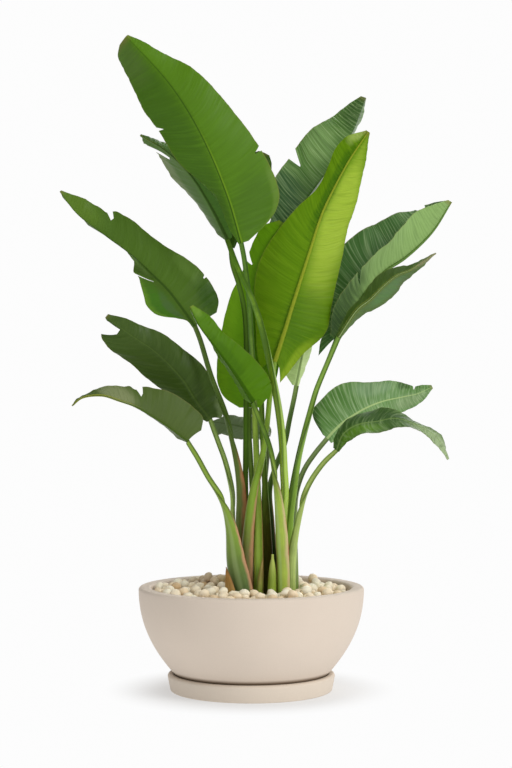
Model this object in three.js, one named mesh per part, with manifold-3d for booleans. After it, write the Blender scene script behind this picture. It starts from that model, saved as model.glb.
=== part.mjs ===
// Potted bird of paradise: a clump of long stalked leaves growing from a rootstock in a wide
// bowl of potting soil, topped with pebbles, on a round saucer.
// Millimetres, Z up. The origin is the middle of the saucer's underside, X runs to the right
// and Y runs away from the viewer.

import * as THREE from 'three';
import { ConvexGeometry } from 'three/addons/geometries/ConvexGeometry.js';
import { mergeVertices } from 'three/addons/utils/BufferGeometryUtils.js';
import Module from 'manifold-3d';

const wasm = await Module();
wasm.setup();

// Gap kept between pieces that touch
const GAP = 0.3;
const ROUND_STEPS = 40;

// Saucer
const SAUCER_RADIUS = 167;
const SAUCER_FOOT_RADIUS = 162;
const SAUCER_HEIGHT = 34;
const SAUCER_FLOOR = 12;
const SAUCER_LIP = 13;
const SAUCER_FOOT_ROUNDING = 3;
const SAUCER_RIM_ROUNDING = 6;
// Bevel of the inner edge of the saucer's rim, and how far its inner side slopes
const SAUCER_BEVEL = 3;
const SAUCER_SLOPE = 6;

// Bowl
const BOWL_RADIUS = 225;
const BOWL_HEIGHT = 206;
const BOWL_FOOT_RADIUS = 136;
// Radius and height of the two points that pull the bowl's outer side into its curve
const BOWL_BELLY = [186, 66];
const BOWL_SHOULDER = [224, 120];
const BOWL_WALL = 26;
const BOWL_BASE = 16;
const BOWL_FLOOR_RADIUS = 114;
const BOWL_SIDE_STEPS = 8;
const BOWL_INSIDE_STEPS = 5;
const RIM_ROUNDING = 5;
const BOWL_STAND = SAUCER_FLOOR + GAP;

// Filling of the bowl
const SOIL_TOP = 168;
const PEBBLE_BED_TOP = 190;
const PEBBLE_COUNT = 118;
const PEBBLE_RADIUS = 14.5;
// Least and most of a stone's size, length and width, as shares, and its height as one
const PEBBLE_SIZES = [0.85, 1.1];
const PEBBLE_LENGTHS = [0.9, 1.25];
const PEBBLE_WIDTHS = [0.8, 1];
const PEBBLE_FLATNESS = 0.72;
// Least and most height of a stone's middle over the bed, shift from its place, and tip in degrees
const PEBBLE_STANDS = [1, 3];
const PEBBLE_SHIFTS = [-1.5, 1.5];
const PEBBLE_TIPS = [-12, 12];
// Turn from each stone to the next on the spiral they are laid on
const GOLDEN_ANGLE = Math.PI * (3 - Math.sqrt(5));
// How much higher the stones lie at the back left, and how near the clump's middle they start
const HEAP_HEIGHT = 4;
const PEBBLE_START = 70;
// Space between the last stones and the bowl
const PEBBLE_CLEARANCE = 15.2;

// Rootstock under the clump
const ROOT_CENTRE = [18, 4];
const ROOT_RADII = [88, 82];
const ROOT_DEPTH = 78;
// Height of its upright neck, how full its underside is, and facets round it
const ROOT_NECK = 10;
const ROOT_FULLNESS = 0.6;
const ROOT_STEPS = 24;
// How far a cut runs on past the surface it starts from
const CUT_PAST = 5;

// Stalks
const STALK_FOOT = SOIL_TOP + GAP;
const PETIOLE_END_WIDTH = 10;
const PETIOLE_END_DEPTH = 8;
const PETIOLE_FLATNESS = 0.82;
const PETIOLE_TAPER = 0.6;
// Share of a stalk where its sheath starts to narrow, unless the leaf has its own sheathStart
const SHEATH_START = 0.1;
// Shares of a stalk between which its channel turns to meet the blade
const TURN_START = 0.3;
const TURN_END = 0.95;
const CHANNEL_SHARE = 0.12;
const SHEATH_WALL = 6;
// Thickness of the lips beside the channel, and the most it takes of a narrow section's width
const LIP = 1.6;
const LIP_SHARE = 0.2;
const STALK_RINGS = 11;

// Blades
const BLADE_THICKNESS = 1.1;
const RIB_WIDTH_BASE = 11.4;
const RIB_WIDTH_TIP = 2.4;
const RIB_TAPER = 0.4;
const RIB_DEPTH_TIP = 2;
const BLADE_ROWS = 12;
const BLADE_COLUMNS = 2;
// Straight steps that a half blade's curl is laid out in
const CURL_STEPS = 6;
// How far the side veins run towards the tip, as a share of the midrib, unless a half has its
// own lead, and how strongly they bend
const VEIN_LEAD = 0.07;
const VEIN_BEND = 1.5;
// How quickly the veins that run back into a lobe give way to those that run on
const LOBE_FADE = 6;
const LEAST_REACH = 0.5;
// Gap at the inner end of a tear, as a share of the midrib, and the part of a row's step that
// plain rows keep clear of a tear
const TEAR_START = 0.003;
const TEAR_CLEARANCE = 0.4;

// Growths at the clump's foot: shares of their length where they have a section, and the depth
// of their channel as a share of their own
const SHOOT_SHARES = [0, 0.3, 0.6, 0.85, 1];
const SHOOT_CHANNEL = 0.2;

// Each leaf has the route of its stalk from the rootstock to the blade, and then of its midrib
// to the tip. sheath: width and depth of the stalk at its foot, the share of its length that
// sheathes, and the compass direction, in degrees from X towards Y, that the sheath opens in.
// petiole: width of the stalk above the sheath. sheathStart: share of the stalk where the
// sheath starts to narrow. face: 1 where the blade's upper face looks at the viewer, -1 where
// the underside does. left and right: the two halves of the blade as the viewer sees them, the
// tip up. reach: how far the margin stands from the midrib at shares of the midrib's length; a
// share below 0 is a lobe behind the blade's foot. lean: degrees that the half leans away from
// the viewer. curl: degrees more at the margin. tears: share of the midrib, depth as a share of
// the half, and gap at the margin as a share of the midrib. lead: how far the half's veins run
// towards the tip, as a share of the midrib. wave: height and number of the waves of the
// margins.
const LEAVES = [
  {
    name: 'tall_left', colour: 0x4a7a1e, face: 1, petiole: 14,
    sheath: [20, 15, 0.4, 60], wave: [4, 2.5],
    stalk: [[12, -24, 168], [12, -24, 258], [11, -14, 380], [7, 2, 518], [0, 0, 680], [-5, -8, 782],
      [-10, -20, 828], [-15, -30, 864], [-20, -34, 889]],
    rib: [[-48, -46, 983], [-97, -56, 1097], [-157, -58, 1195], [-247, -44, 1297]],
    left: {
      reach: [[0, 6], [0.1, 18], [0.2, 24], [0.3, 43], [0.4, 63], [0.5, 71], [0.7, 78], [0.8, 69],
        [0.88, 60], [0.95, 54], [0.98, 46], [1, 26]],
      lean: [[0, 15], [0.5, 12], [1, 30]], curl: 8, tears: [[0.53, 0.16, 0.02]],
    },
    right: {
      reach: [[0, 16], [0.05, 66], [0.1, 95], [0.16, 106], [0.3, 101], [0.4, 94], [0.5, 84],
        [0.6, 74], [0.7, 61], [0.8, 45], [0.9, 29], [1, 5]],
      lean: [[0, 10], [0.5, 8], [1, 20]], curl: 8, tears: [[0.28, 0.14, 0.02]],
    },
  },
  {
    name: 'behind_left', colour: 0x3a5a3a, face: 1, petiole: 22,
    sheath: [22, 16, 0.3, 200], wave: [3, 2.5],
    stalk: [[60, -8, 168], [64, -10, 338], [68, -20, 398], [66, -28, 438], [63, -36, 498],
      [56, -42, 558], [45, -50, 618], [24, -56, 712], [4, -54, 774], [-14, -46, 812],
      [-29, -32, 846], [-48, -8, 898]],
    rib: [[-83, 8, 968], [-123, 20, 1031], [-173, 28, 1080], [-224, 28, 1112]],
    left: {
      reach: [[0, 8], [0.1, 30], [0.3, 54], [0.5, 64], [0.65, 68], [0.75, 60], [0.82, 46],
        [0.87, 32], [0.9, 24], [0.96, 20], [1, 8]],
      lean: [[0, 60], [0.5, 60], [1, 70]], curl: 8, lead: 0.26, tears: [[0.65, 0.5, 0.055]],
    },
    right: {
      reach: [[0, 12], [0.1, 40], [0.3, 60], [0.6, 58], [0.85, 30], [1, 6]],
      lean: [[0, 30], [1, 55]], curl: 8, tears: [],
    },
  },
  {
    name: 'upper_back', colour: 0x2f5a35, face: 1, petiole: 13,
    sheath: [22, 15, 0.35, 240], wave: [3, 3],
    stalk: [[36, 12, 168], [34, 24, 300], [27, 50, 450], [22, 74, 560], [18, 88, 700], [16, 90, 820],
      [21, 86, 900]],
    rib: [[69, 92, 930], [120, 100, 999], [172, 106, 1071], [209, 106, 1131], [235, 100, 1199]],
    left: {
      reach: [[0, 8], [0.1, 30], [0.2, 54], [0.3, 76], [0.4, 82], [0.5, 84], [0.6, 86], [0.7, 80],
        [0.8, 65], [0.9, 44], [1, 12]],
      lean: [[0, 8], [0.5, 10], [1, 25]], curl: 5, tears: [[0.45, 0.42, 0.07]],
    },
    right: {
      reach: [[0, 8], [0.2, 45], [0.5, 78], [0.8, 48], [1, 5]],
      lean: [[0, 60], [0.5, 82], [0.8, 78], [1, 68]], curl: 5, tears: [],
    },
  },
  {
    name: 'bright_centre', colour: 0x6f9a1e, face: -1, petiole: 15,
    sheath: [26, 17, 0.72, 70], wave: [3, 2],
    stalk: [[-11, -28, 168], [-11, -30, 258], [-6, -34, 330], [4, -36, 400], [16, -34, 444],
      [26, -26, 490], [33, -12, 545], [39, 0, 602], [47, 8, 654]],
    rib: [[67, 14, 716], [85, 20, 774], [117, 28, 874], [143, 30, 954], [167, 28, 1005],
      [197, 22, 1060], [235, 10, 1116]],
    left: {
      reach: [[-0.04, 22], [0, 36], [0.1, 57], [0.2, 76], [0.3, 91], [0.4, 91], [0.5, 78], [0.6, 56],
        [0.7, 33], [0.8, 32], [0.88, 38], [0.94, 32], [1, 6]],
      lean: [[0, 10], [0.5, 6], [0.8, 10], [1, 30]], curl: 5, tears: [],
    },
    right: {
      reach: [[-0.07, 24], [0, 40], [0.08, 56], [0.15, 78], [0.2, 85], [0.3, 78], [0.4, 72],
        [0.6, 65], [0.7, 61], [0.8, 49], [0.9, 32], [1, 4]],
      lean: [[0, 12], [0.5, 10], [1, 35]], curl: 8, tears: [],
    },
  },
  {
    name: 'right_upper_back', colour: 0x3d6b3a, face: -1, petiole: 13,
    sheath: [22, 15, 0.35, 150], wave: [3, 3],
    stalk: [[58, 34, 168], [74, 36, 340], [97, 42, 464], [120, 46, 553], [132, 49, 597],
      [150, 51, 641], [173, 56, 700]],
    rib: [[211, 64, 762], [240, 70, 806], [276, 76, 843], [315, 80, 869], [370, 84, 921],
      [410, 86, 983]],
    left: {
      reach: [[0, 20], [0.1, 46], [0.25, 58], [0.5, 60], [0.65, 74], [0.8, 64], [0.9, 42], [1, 8]],
      lean: [[0, -30], [0.5, -38], [0.85, -15], [1, 0]], curl: -10, tears: [[0.3, 0.6, 0.03]],
    },
    right: {
      reach: [[-0.12, 18], [-0.05, 30], [0, 34], [0.1, 44], [0.2, 70], [0.3, 88], [0.4, 108],
        [0.5, 110], [0.6, 107], [0.7, 98], [0.8, 86], [0.88, 64], [0.93, 50], [1, 10]],
      lean: [[0, 140], [0.5, 148], [1, 140]], curl: 5, tears: [[0.87, 0.3, 0.05]],
    },
  },
  {
    name: 'right_upper_front', colour: 0x34592c, face: 1, petiole: 15,
    sheath: [24, 16, 0.35, 160], wave: [2, 2],
    stalk: [[72, 10, 168], [80, 6, 340], [87, 1, 396], [96, -6, 464], [118, -15, 553],
      [130, -18, 597], [147, -22, 641], [173, -28, 702]],
    rib: [[210, -38, 757], [234, -44, 776], [261, -50, 803], [286, -54, 823], [314, -58, 835],
      [363, -62, 867]],
    left: {
      reach: [[0, 10], [0.15, 22], [0.3, 27], [0.45, 41], [0.55, 44], [0.7, 32], [0.85, 14], [1, 3]],
      lean: [[0, 58], [1, 62]], curl: 0, tears: [],
    },
    right: {
      reach: [[0, 8], [0.1, 17], [0.2, 28], [0.3, 34], [0.4, 45], [0.5, 56], [0.6, 54], [0.7, 36],
        [0.82, 14], [1, 3]],
      lean: [[0, 58], [1, 62]], curl: 0, tears: [],
    },
  },
  {
    name: 'young_front', colour: 0x4f8a12, face: 1, petiole: 11,
    sheath: [25, 17, 0.7, 60], sheathStart: 0.3, wave: [2, 2],
    stalk: [[62, -49, 168], [60, -49, 258], [54, -49, 358], [46, -52, 428], [35, -56, 488],
      [13, -64, 548], [3, -70, 574]],
    rib: [[-2, -72, 580], [-30, -82, 624], [-69, -92, 678], [-102, -98, 723], [-120, -100, 760]],
    left: {
      reach: [[0, 14], [0.1, 40], [0.3, 48], [0.6, 36], [0.85, 20], [1, 6]],
      lean: [[0, 70], [0.4, 85], [1, 90]], curl: 0, tears: [],
    },
    right: {
      reach: [[-0.08, 30], [-0.03, 50], [0.05, 57], [0.15, 58], [0.3, 52], [0.5, 42], [0.65, 35],
        [0.8, 34], [0.9, 26], [1, 10]],
      lean: [[0, 10], [0.6, 15], [1, 30]], curl: 8, tears: [],
    },
  },
  {
    name: 'centre_left_back', colour: 0x567f1c, face: 1, petiole: 13,
    sheath: [22, 15, 0.5, 250], wave: [3, 2],
    stalk: [[12, 36, 168], [8, 38, 300], [-2, 42, 470], [-5, 44, 520], [-3, 46, 562]],
    rib: [[-3, 50, 680], [7, 54, 780], [27, 54, 872], [64, 50, 938]],
    left: {
      reach: [[0, 22], [0.05, 50], [0.12, 65], [0.2, 69], [0.3, 67], [0.4, 61], [0.5, 55], [0.6, 49],
        [0.7, 37], [0.8, 34], [0.93, 32], [1, 10]],
      lean: [[0, 5], [1, 15]], curl: 5, tears: [[0.72, 0.5, 0.04]],
    },
    right: {
      reach: [[0, 20], [0.1, 50], [0.3, 64], [0.5, 60], [0.8, 36], [1, 6]],
      lean: [[0, 5], [1, 10]], curl: 5, tears: [],
    },
  },
  {
    name: 'left_long', colour: 0x44662f, face: 1, petiole: 14,
    sheath: [26, 16, 0.62, 40], sheathStart: 0.25, wave: [4, 3],
    stalk: [[-30, -6, 168], [-25, -8, 300], [-22, -8, 380], [-27, -6, 438], [-45, -2, 522],
      [-57, 2, 562], [-80, 5, 624], [-102, 8, 698], [-113, 10, 726]],
    rib: [[-139, 16, 762], [-166, 22, 797], [-199, 28, 830], [-235, 34, 864], [-297, 42, 911],
      [-353, 44, 954], [-388, 40, 999]],
    left: {
      reach: [[0, 6], [0.05, 7], [0.1, 26], [0.15, 47], [0.2, 58], [0.27, 58], [0.33, 42], [0.4, 24],
        [0.45, 26], [0.6, 40], [0.8, 30], [1, 5]],
      lean: [[0, 20], [0.3, 25], [0.36, 80], [1, 88]], curl: 5, lead: 0.14, tears: [[0.3, 0.7, 0.02]],
    },
    right: {
      reach: [[0, 56], [0.05, 76], [0.12, 83], [0.2, 81], [0.3, 75], [0.4, 68], [0.5, 62], [0.6, 61],
        [0.66, 59], [0.715, 56], [0.735, 45], [0.78, 46], [0.82, 42], [0.9, 31], [1, 5]],
      lean: [[0, 18], [1, 15]], curl: 5, lead: 0.11, tears: [[0.14, 0.1, 0.012], [0.628, 0.25, 0.018]],
    },
  },
  {
    name: 'left_mid', colour: 0x3a5a30, face: 1, petiole: 13,
    sheath: [24, 15, 0.5, 20], wave: [4, 3],
    stalk: [[-44, 20, 168], [-38, 19, 340], [-38, 19, 382], [-45, 20, 420], [-55, 22, 460],
      [-67, 26, 494], [-83, 30, 538]],
    rib: [[-113, 26, 578], [-135, 20, 614], [-166, 8, 650], [-199, -8, 680], [-229, -22, 700],
      [-259, -38, 722], [-285, -54, 744]],
    left: {
      reach: [[0, 8], [0.1, 22], [0.2, 36], [0.3, 46], [0.5, 52], [0.7, 52], [0.8, 50], [0.88, 45],
        [0.925, 40], [0.95, 26], [0.965, 10], [1, 4]],
      lean: [[0, 10], [1, 10]], curl: 8, lead: 0.23, tears: [[0.84, 0.65, 0.04]],
    },
    right: {
      reach: [[-0.04, 20], [0, 38], [0.06, 46], [0.2, 50], [0.35, 51], [0.5, 44], [0.7, 34], [0.8, 28],
        [0.9, 19], [1, 5]],
      lean: [[0, 12], [1, 10]], curl: 8, tears: [],
    },
  },
  {
    name: 'left_low', colour: 0x55703a, face: 1, petiole: 14,
    sheath: [50, 20, 0.72, 55], wave: [3, 2.5],
    stalk: [[-14, -54, 168], [-22, -54, 202], [-33, -54, 258], [-42, -55, 326], [-57, -57, 378],
      [-87, -62, 430], [-106, -66, 466], [-125, -70, 497]],
    rib: [[-163, -82, 526], [-196, -94, 548], [-225, -104, 565], [-256, -114, 577], [-287, -124, 587],
      [-325, -134, 583], [-344, -138, 568]],
    left: {
      reach: [[0, 10], [0.15, 40], [0.4, 52], [0.7, 38], [0.9, 20], [1, 4]],
      lean: [[0, 70], [0.4, 85], [1, 88]], curl: 5, tears: [],
    },
    right: {
      reach: [[-0.04, 36], [0, 59], [0.1, 65], [0.3, 64], [0.4, 57], [0.48, 50], [0.515, 38],
        [0.56, 42], [0.6, 38], [0.7, 31], [0.8, 24], [0.9, 16], [1, 3]],
      lean: [[0, 15], [0.4, 25], [0.7, 50], [1, 68]], curl: 5, tears: [[0.43, 0.3, 0.03]],
    },
  },
  {
    name: 'right_low_back', colour: 0x4f7a50, face: 1, petiole: 12,
    sheath: [22, 15, 0.5, 190], wave: [3, 3],
    stalk: [[88, 28, 168], [88, 30, 300], [91, 33, 382], [99, 36, 416], [110, 40, 442],
      [129, 44, 470], [153, 50, 499]],
    rib: [[168, 56, 515], [183, 62, 529], [223, 78, 555], [265, 94, 573], [315, 110, 584],
      [343, 116, 590], [374, 120, 604]],
    left: {
      reach: [[0, 12], [0.05, 46], [0.1, 63], [0.2, 68], [0.3, 71], [0.4, 67], [0.5, 56], [0.6, 45],
        [0.7, 38], [0.8, 29], [0.9, 18], [1, 5]],
      lean: [[0, 8], [1, 20]], curl: 8, tears: [[0.84, 0.5, 0.02]],
    },
    right: {
      reach: [[0, 14], [0.1, 24], [0.2, 30], [0.4, 36], [0.6, 40], [0.7, 39], [0.8, 32], [0.9, 17],
        [1, 4]],
      lean: [[0, 20], [1, 20]], curl: 5, tears: [],
    },
  },
  {
    name: 'right_low_front', colour: 0x36602e, face: 1, petiole: 15,
    sheath: [26, 16, 0.5, 130], wave: [3, 2.5],
    stalk: [[78, -24, 168], [79, -25, 202], [82, -27, 258], [87, -29, 298], [93, -31, 332],
      [104, -35, 382], [118, -40, 418], [142, -46, 454], [168, -52, 480]],
    rib: [[181, -58, 511], [206, -66, 529], [247, -78, 537], [284, -88, 543], [330, -98, 526],
      [363, -104, 503], [383, -106, 464]],
    left: {
      reach: [[0, 14], [0.1, 24], [0.2, 40], [0.4, 48], [0.5, 32], [0.6, 22], [0.8, 20], [0.95, 15],
        [1, 5]],
      lean: [[0, 55], [0.5, 60], [1, 65]], curl: 5, tears: [],
    },
    right: {
      reach: [[0, 8], [0.06, 13], [0.12, 24], [0.2, 36], [0.3, 42], [0.45, 36], [0.6, 25], [0.8, 16],
        [1, 4]],
      lean: [[0, -50], [0.5, -55], [1, -40]], curl: -5, tears: [],
    },
  },
  {
    name: 'low_back', colour: 0x3d4d40, face: 1, petiole: 12,
    sheath: [22, 15, 0.5, 270], wave: [3, 2],
    stalk: [[24, 66, 168], [26, 72, 300], [28, 84, 400], [34, 94, 468], [33, 104, 498]],
    rib: [[8, 126, 512], [-38, 165, 524], [-84, 206, 530]],
    left: {
      reach: [[0, 12], [0.15, 36], [0.45, 42], [0.8, 28], [1, 4]],
      lean: [[0, -50], [1, -45]], curl: -5, tears: [],
    },
    right: {
      reach: [[0, 12], [0.15, 36], [0.45, 42], [0.8, 28], [1, 4]],
      lean: [[0, 50], [1, 45]], curl: 5, tears: [],
    },
  },
  {
    name: 'back_right', colour: 0x6a8a5a, face: 1, petiole: 12,
    sheath: [25, 16, 0.6, 250], wave: [3, 2],
    stalk: [[46, 50, 168], [40, 54, 330], [38, 56, 398], [54, 62, 452], [68, 66, 488], [78, 70, 538],
      [88, 74, 585], [92, 77, 606]],
    rib: [[101, 86, 650], [107, 92, 680], [111, 102, 725], [110, 115, 785], [102, 130, 863]],
    left: {
      reach: [[0, 9], [0.06, 24], [0.15, 40], [0.4, 46], [0.8, 30], [1, 4]],
      lean: [[0, 8], [1, 25]], curl: 5, tears: [],
    },
    right: {
      reach: [[0, 10], [0.2, 34], [0.5, 40], [0.8, 28], [1, 4]],
      lean: [[0, 60], [1, 70]], curl: 5, tears: [],
    },
  },
  {
    name: 'hidden_back', colour: 0x2e4a2c, face: 1, petiole: 12,
    sheath: [22, 15, 0.35, 290], wave: [3, 2],
    stalk: [[-14, 36, 168], [-14, 32, 300], [-12, 22, 518], [-11, 14, 712], [-16, 12, 768],
      [-26, 18, 812], [-38, 32, 850], [-42, 46, 886]],
    rib: [[-24, 60, 960], [4, 70, 1030], [27, 74, 1082]],
    left: {
      reach: [[0, 8], [0.1, 13], [0.3, 36], [0.5, 48], [0.8, 38], [0.95, 26], [1, 14]],
      lean: [[0, 10], [1, 20]], curl: 5, tears: [],
    },
    right: {
      reach: [[0, 8], [0.1, 14], [0.3, 34], [0.5, 40], [0.8, 32], [0.95, 22], [1, 12]],
      lean: [[0, 10], [1, 20]], curl: 5, tears: [],
    },
  },
];

// Small growths at the foot of the clump: a young shoot and two short scales. open: direction
// their channel looks in. bluntness: how late they taper. tip: width there, as a share.
const SHOOTS = [
  {
    name: 'shoot_front', colour: 0x6f8a2a, width: 17, depth: 11, open: 90,
    bluntness: 4.5, tip: 0.3,
    route: [[39, -58, 168], [41, -58, 215], [42, -58, 275]],
  },
  {
    name: 'scale_left', colour: 0xa07a3c, width: 28, depth: 6, open: 60,
    bluntness: 2.2, tip: 0.12,
    route: [[-38, -72, 168], [-42, -73, 205], [-49, -75, 252]],
  },
  {
    name: 'scale_centre', colour: 0x7a8a3a, width: 15, depth: 7, open: 90,
    bluntness: 2.2, tip: 0.12,
    route: [[15, -48, 168], [17, -48, 215], [22, -48, 264]],
  },
];

// Turns degrees into radians
const radians = THREE.MathUtils.degToRad;
const AWAY = new THREE.Vector3(0, 1, 0);
const UP = new THREE.Vector3(0, 0, 1);

// Repeatable draws for the pebbles
function seededDraws(seed) {
  let state = seed;
  return () => {
    state = (Math.imul(state, 1664525) + 1013904223) >>> 0;
    return state / 4294967296;
  };
}

// A drawn value between the least and the most of a range
function within([least, most], draw) {
  return least + (most - least) * draw();
}

// Slope of a list of stations at one of them
function slopeAt(stations, index) {
  const before = stations[Math.max(0, index - 1)];
  const after = stations[Math.min(stations.length - 1, index + 1)];
  return (after[1] - before[1]) / (after[0] - before[0]);
}

// Value at a share on a smooth line through stations of share and value
function between(stations, share) {
  if (share <= stations[0][0]) return stations[0][1];
  for (let i = 0; i + 1 < stations.length; i += 1) {
    const [start, from] = stations[i];
    const [end, to] = stations[i + 1];
    if (share <= end) {
      const span = end - start;
      const t = (share - start) / span;
      const rise = (1 - t) * (1 - t) * t * span * slopeAt(stations, i);
      const fall = (t - 1) * t * t * span * slopeAt(stations, i + 1);
      return from + (to - from) * t * t * (3 - 2 * t) + rise + fall;
    }
  }
  return stations[stations.length - 1][1];
}

function smoothRoute(points) {
  return new THREE.CatmullRomCurve3(points.map((p) => new THREE.Vector3(...p)), false, 'centripetal');
}

// A closed geometry from corner points and triangles
function geometryFrom(points, triangles) {
  const geometry = new THREE.BufferGeometry();
  const positions = points.flatMap((p) => [p.x, p.y, p.z]);
  geometry.setAttribute('position', new THREE.Float32BufferAttribute(positions, 3));
  geometry.setIndex(triangles.flat());
  return geometry;
}

function toSolid(geometry) {
  const bare = geometry.clone();
  bare.deleteAttribute('normal');
  bare.deleteAttribute('uv');
  const merged = mergeVertices(bare, 1e-4);
  return new wasm.Manifold(new wasm.Mesh({
    numProp: 3,
    vertProperties: new Float32Array(merged.attributes.position.array),
    triVerts: new Uint32Array(merged.index.array),
  }));
}

function fromSolid(solid) {
  const mesh = solid.getMesh();
  const geometry = new THREE.BufferGeometry();
  geometry.setAttribute('position', new THREE.BufferAttribute(new Float32Array(mesh.vertProperties), 3));
  geometry.setIndex(new THREE.BufferAttribute(new Uint32Array(mesh.triVerts), 1));
  return geometry;
}

function piece(name, geometry, colour, roughness = 0.5) {
  const faceted = geometry.index ? geometry.toNonIndexed() : geometry;
  faceted.computeVertexNormals();
  const material = new THREE.MeshStandardMaterial({ color: colour, roughness, metalness: 0 });
  const mesh = new THREE.Mesh(faceted, material);
  mesh.name = name;
  return mesh;
}

// A turned solid about the Z axis from an outline of radius and height
function turned(outline, steps = ROUND_STEPS) {
  const geometry = new THREE.LatheGeometry(outline, steps);
  geometry.rotateX(Math.PI / 2);
  return fromSolid(toSolid(geometry));
}

// Joins rings of points into one closed tube with flat ends
function loft(rings) {
  const size = rings[0].length;
  const points = rings.flat();
  const triangles = [];
  for (let ring = 0; ring + 1 < rings.length; ring += 1) {
    for (let side = 0; side < size; side += 1) {
      const a = ring * size + side;
      const b = ring * size + ((side + 1) % size);
      triangles.push([a, b, b + size], [a, b + size, a + size]);
    }
  }
  const outline = rings[0].map((p, i) => i);
  const lastStart = (rings.length - 1) * size;
  for (const [i, j, k] of capTriangles(outline.length)) {
    triangles.push([i, k, j], [lastStart + i, lastStart + j, lastStart + k]);
  }
  return geometryFrom(points, triangles);
}

// Triangles across a crescent section, from its outer arc to its inner arc
function capTriangles(size) {
  const triangles = [];
  let low = 0;
  let high = size - 1;
  while (high - low >= 2) {
    triangles.push([low, low + 1, high]);
    low += 1;
    if (high - low >= 2) {
      triangles.push([low, high - 1, high]);
      high -= 1;
    }
  }
  return triangles;
}

// Section of a stalk: a keeled outer arc, two lips, and a channel between them
const OUTER_ANGLES = [-90, -58, -20, 20, 58, 90];
const INNER_ANGLES = [82, 35, -35, -82];
function crescent(width, depth, channel, grow) {
  const lip = Math.min(LIP, width * LIP_SHARE);
  const points = [];
  for (const angle of OUTER_ANGLES) {
    const a = radians(angle);
    const drop = (depth + 2 * grow) * Math.cos(a);
    points.push([(width / 2 + grow) * Math.sin(a), depth / 2 - drop + grow]);
  }
  for (const angle of INNER_ANGLES) {
    const a = radians(angle);
    points.push([(width / 2 - lip - grow) * Math.sin(a), depth / 2 - channel * Math.cos(a) + grow]);
  }
  return points;
}

// Level direction at an angle from X towards Y
function compass(degrees) {
  return new THREE.Vector3(Math.cos(radians(degrees)), Math.sin(radians(degrees)), 0);
}

// Rings of a stalk along its route
function stalkRings(leaf, grow = 0) {
  const route = smoothRoute(leaf.stalk);
  const [footWidth, footDepth, sheathShare, opening] = leaf.sheath;
  const openBelow = compass(opening);
  const ribStart = ribRoute(leaf).getTangentAt(0);
  const right = new THREE.Vector3().crossVectors(AWAY, ribStart).normalize();
  const openAbove = new THREE.Vector3().crossVectors(right, ribStart).multiplyScalar(leaf.face);
  const sheathStart = leaf.sheathStart ?? SHEATH_START;
  const rings = [];
  for (let step = 0; step <= STALK_RINGS; step += 1) {
    const share = step / STALK_RINGS;
    const centre = route.getPointAt(share);
    const along = route.getTangentAt(share);
    if (step === 0) {
      along.copy(UP);
      centre.z = STALK_FOOT;
    }
    if (step === STALK_RINGS) {
      along.copy(ribStart);
      centre.addScaledVector(ribStart, -GAP / 2);
    }
    const sheathing = 1 - THREE.MathUtils.smoothstep(share, sheathStart, sheathShare);
    const topPart = Math.max(0, (share - SHEATH_START) / (1 - SHEATH_START)) ** PETIOLE_TAPER;
    const plainWidth = leaf.petiole + (PETIOLE_END_WIDTH - leaf.petiole) * topPart;
    const plainDepth = plainWidth * PETIOLE_FLATNESS;
    const width = plainWidth + (footWidth - plainWidth) * sheathing;
    const depth = plainDepth + (footDepth - plainDepth) * sheathing;
    const shallow = CHANNEL_SHARE * depth;
    const channel = shallow + (depth - SHEATH_WALL - shallow) * sheathing;
    const turn = THREE.MathUtils.smoothstep(share, TURN_START, TURN_END);
    const open = openBelow.clone().lerp(openAbove, turn);
    open.addScaledVector(along, -open.dot(along)).normalize();
    const across = new THREE.Vector3().crossVectors(open, along);
    rings.push(crescent(width, depth, channel, grow).map(([x, y]) => centre.clone()
      .addScaledVector(across, x).addScaledVector(open, y)));
  }
  return rings;
}

// The midrib of a leaf, from the end of its stalk
function ribRoute(leaf) {
  return smoothRoute([leaf.stalk[leaf.stalk.length - 1], ...leaf.rib]);
}

// Shares of the midrib where the blade's rows lie, with two rows at each tear
function bladeRows(leaf) {
  const tears = [...leaf.left.tears, ...leaf.right.tears];
  const clearance = TEAR_CLEARANCE / BLADE_ROWS;
  const kept = [];
  for (let row = 0; row <= BLADE_ROWS; row += 1) {
    const share = (1 - Math.cos((Math.PI * row) / BLADE_ROWS)) / 2;
    if (tears.every(([at]) => Math.abs(share - at) > clearance)) {
      kept.push({ share, tear: null, edge: 0 });
    }
  }
  for (const tear of tears) {
    kept.push({ share: tear[0], tear, edge: -1 }, { share: tear[0], tear, edge: 1 });
  }
  return kept.sort((a, b) => a.share - b.share || a.edge - b.edge);
}

// Share where a row crosses a part of the half blade: veins run on towards the tip, into a
// lobe at the foot, and apart at a tear
function veinShare(row, half, part) {
  const lobe = Math.min(0, half.reach[0][0]);
  const lead = half.lead ?? VEIN_LEAD;
  const back = lobe * (1 - row.share) ** LOBE_FADE;
  const onward = lead * Math.sin(Math.PI * row.share);
  const veined = row.share + (back + onward) * part ** VEIN_BEND;
  if (!row.tear) return veined;
  const [, depth, gap] = row.tear;
  const torn = half.tears.includes(row.tear) ? Math.max(0, (part - 1 + depth) / depth) : 0;
  return veined + (row.edge * (TEAR_START + (gap - TEAR_START) * torn)) / 2;
}

// Parts of a half blade where a row has its points; a tear starts at its own depth
function columnParts(row, half) {
  const columns = [...Array(BLADE_COLUMNS + 1).keys()];
  const parts = columns.map((column) => column / BLADE_COLUMNS);
  if (row.tear && half.tears.includes(row.tear)) parts[BLADE_COLUMNS - 1] = 1 - row.tear[1];
  return parts;
}

// Direction in a plane, at an angle from one axis towards the other
function turnedFrom(axis, other, angle) {
  return axis.clone().multiplyScalar(Math.cos(angle)).addScaledVector(other, Math.sin(angle));
}

// Depth of the midrib's keel at a share of its length
function keelDepth(share) {
  return PETIOLE_END_DEPTH + (RIB_DEPTH_TIP - PETIOLE_END_DEPTH) * share;
}

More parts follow.
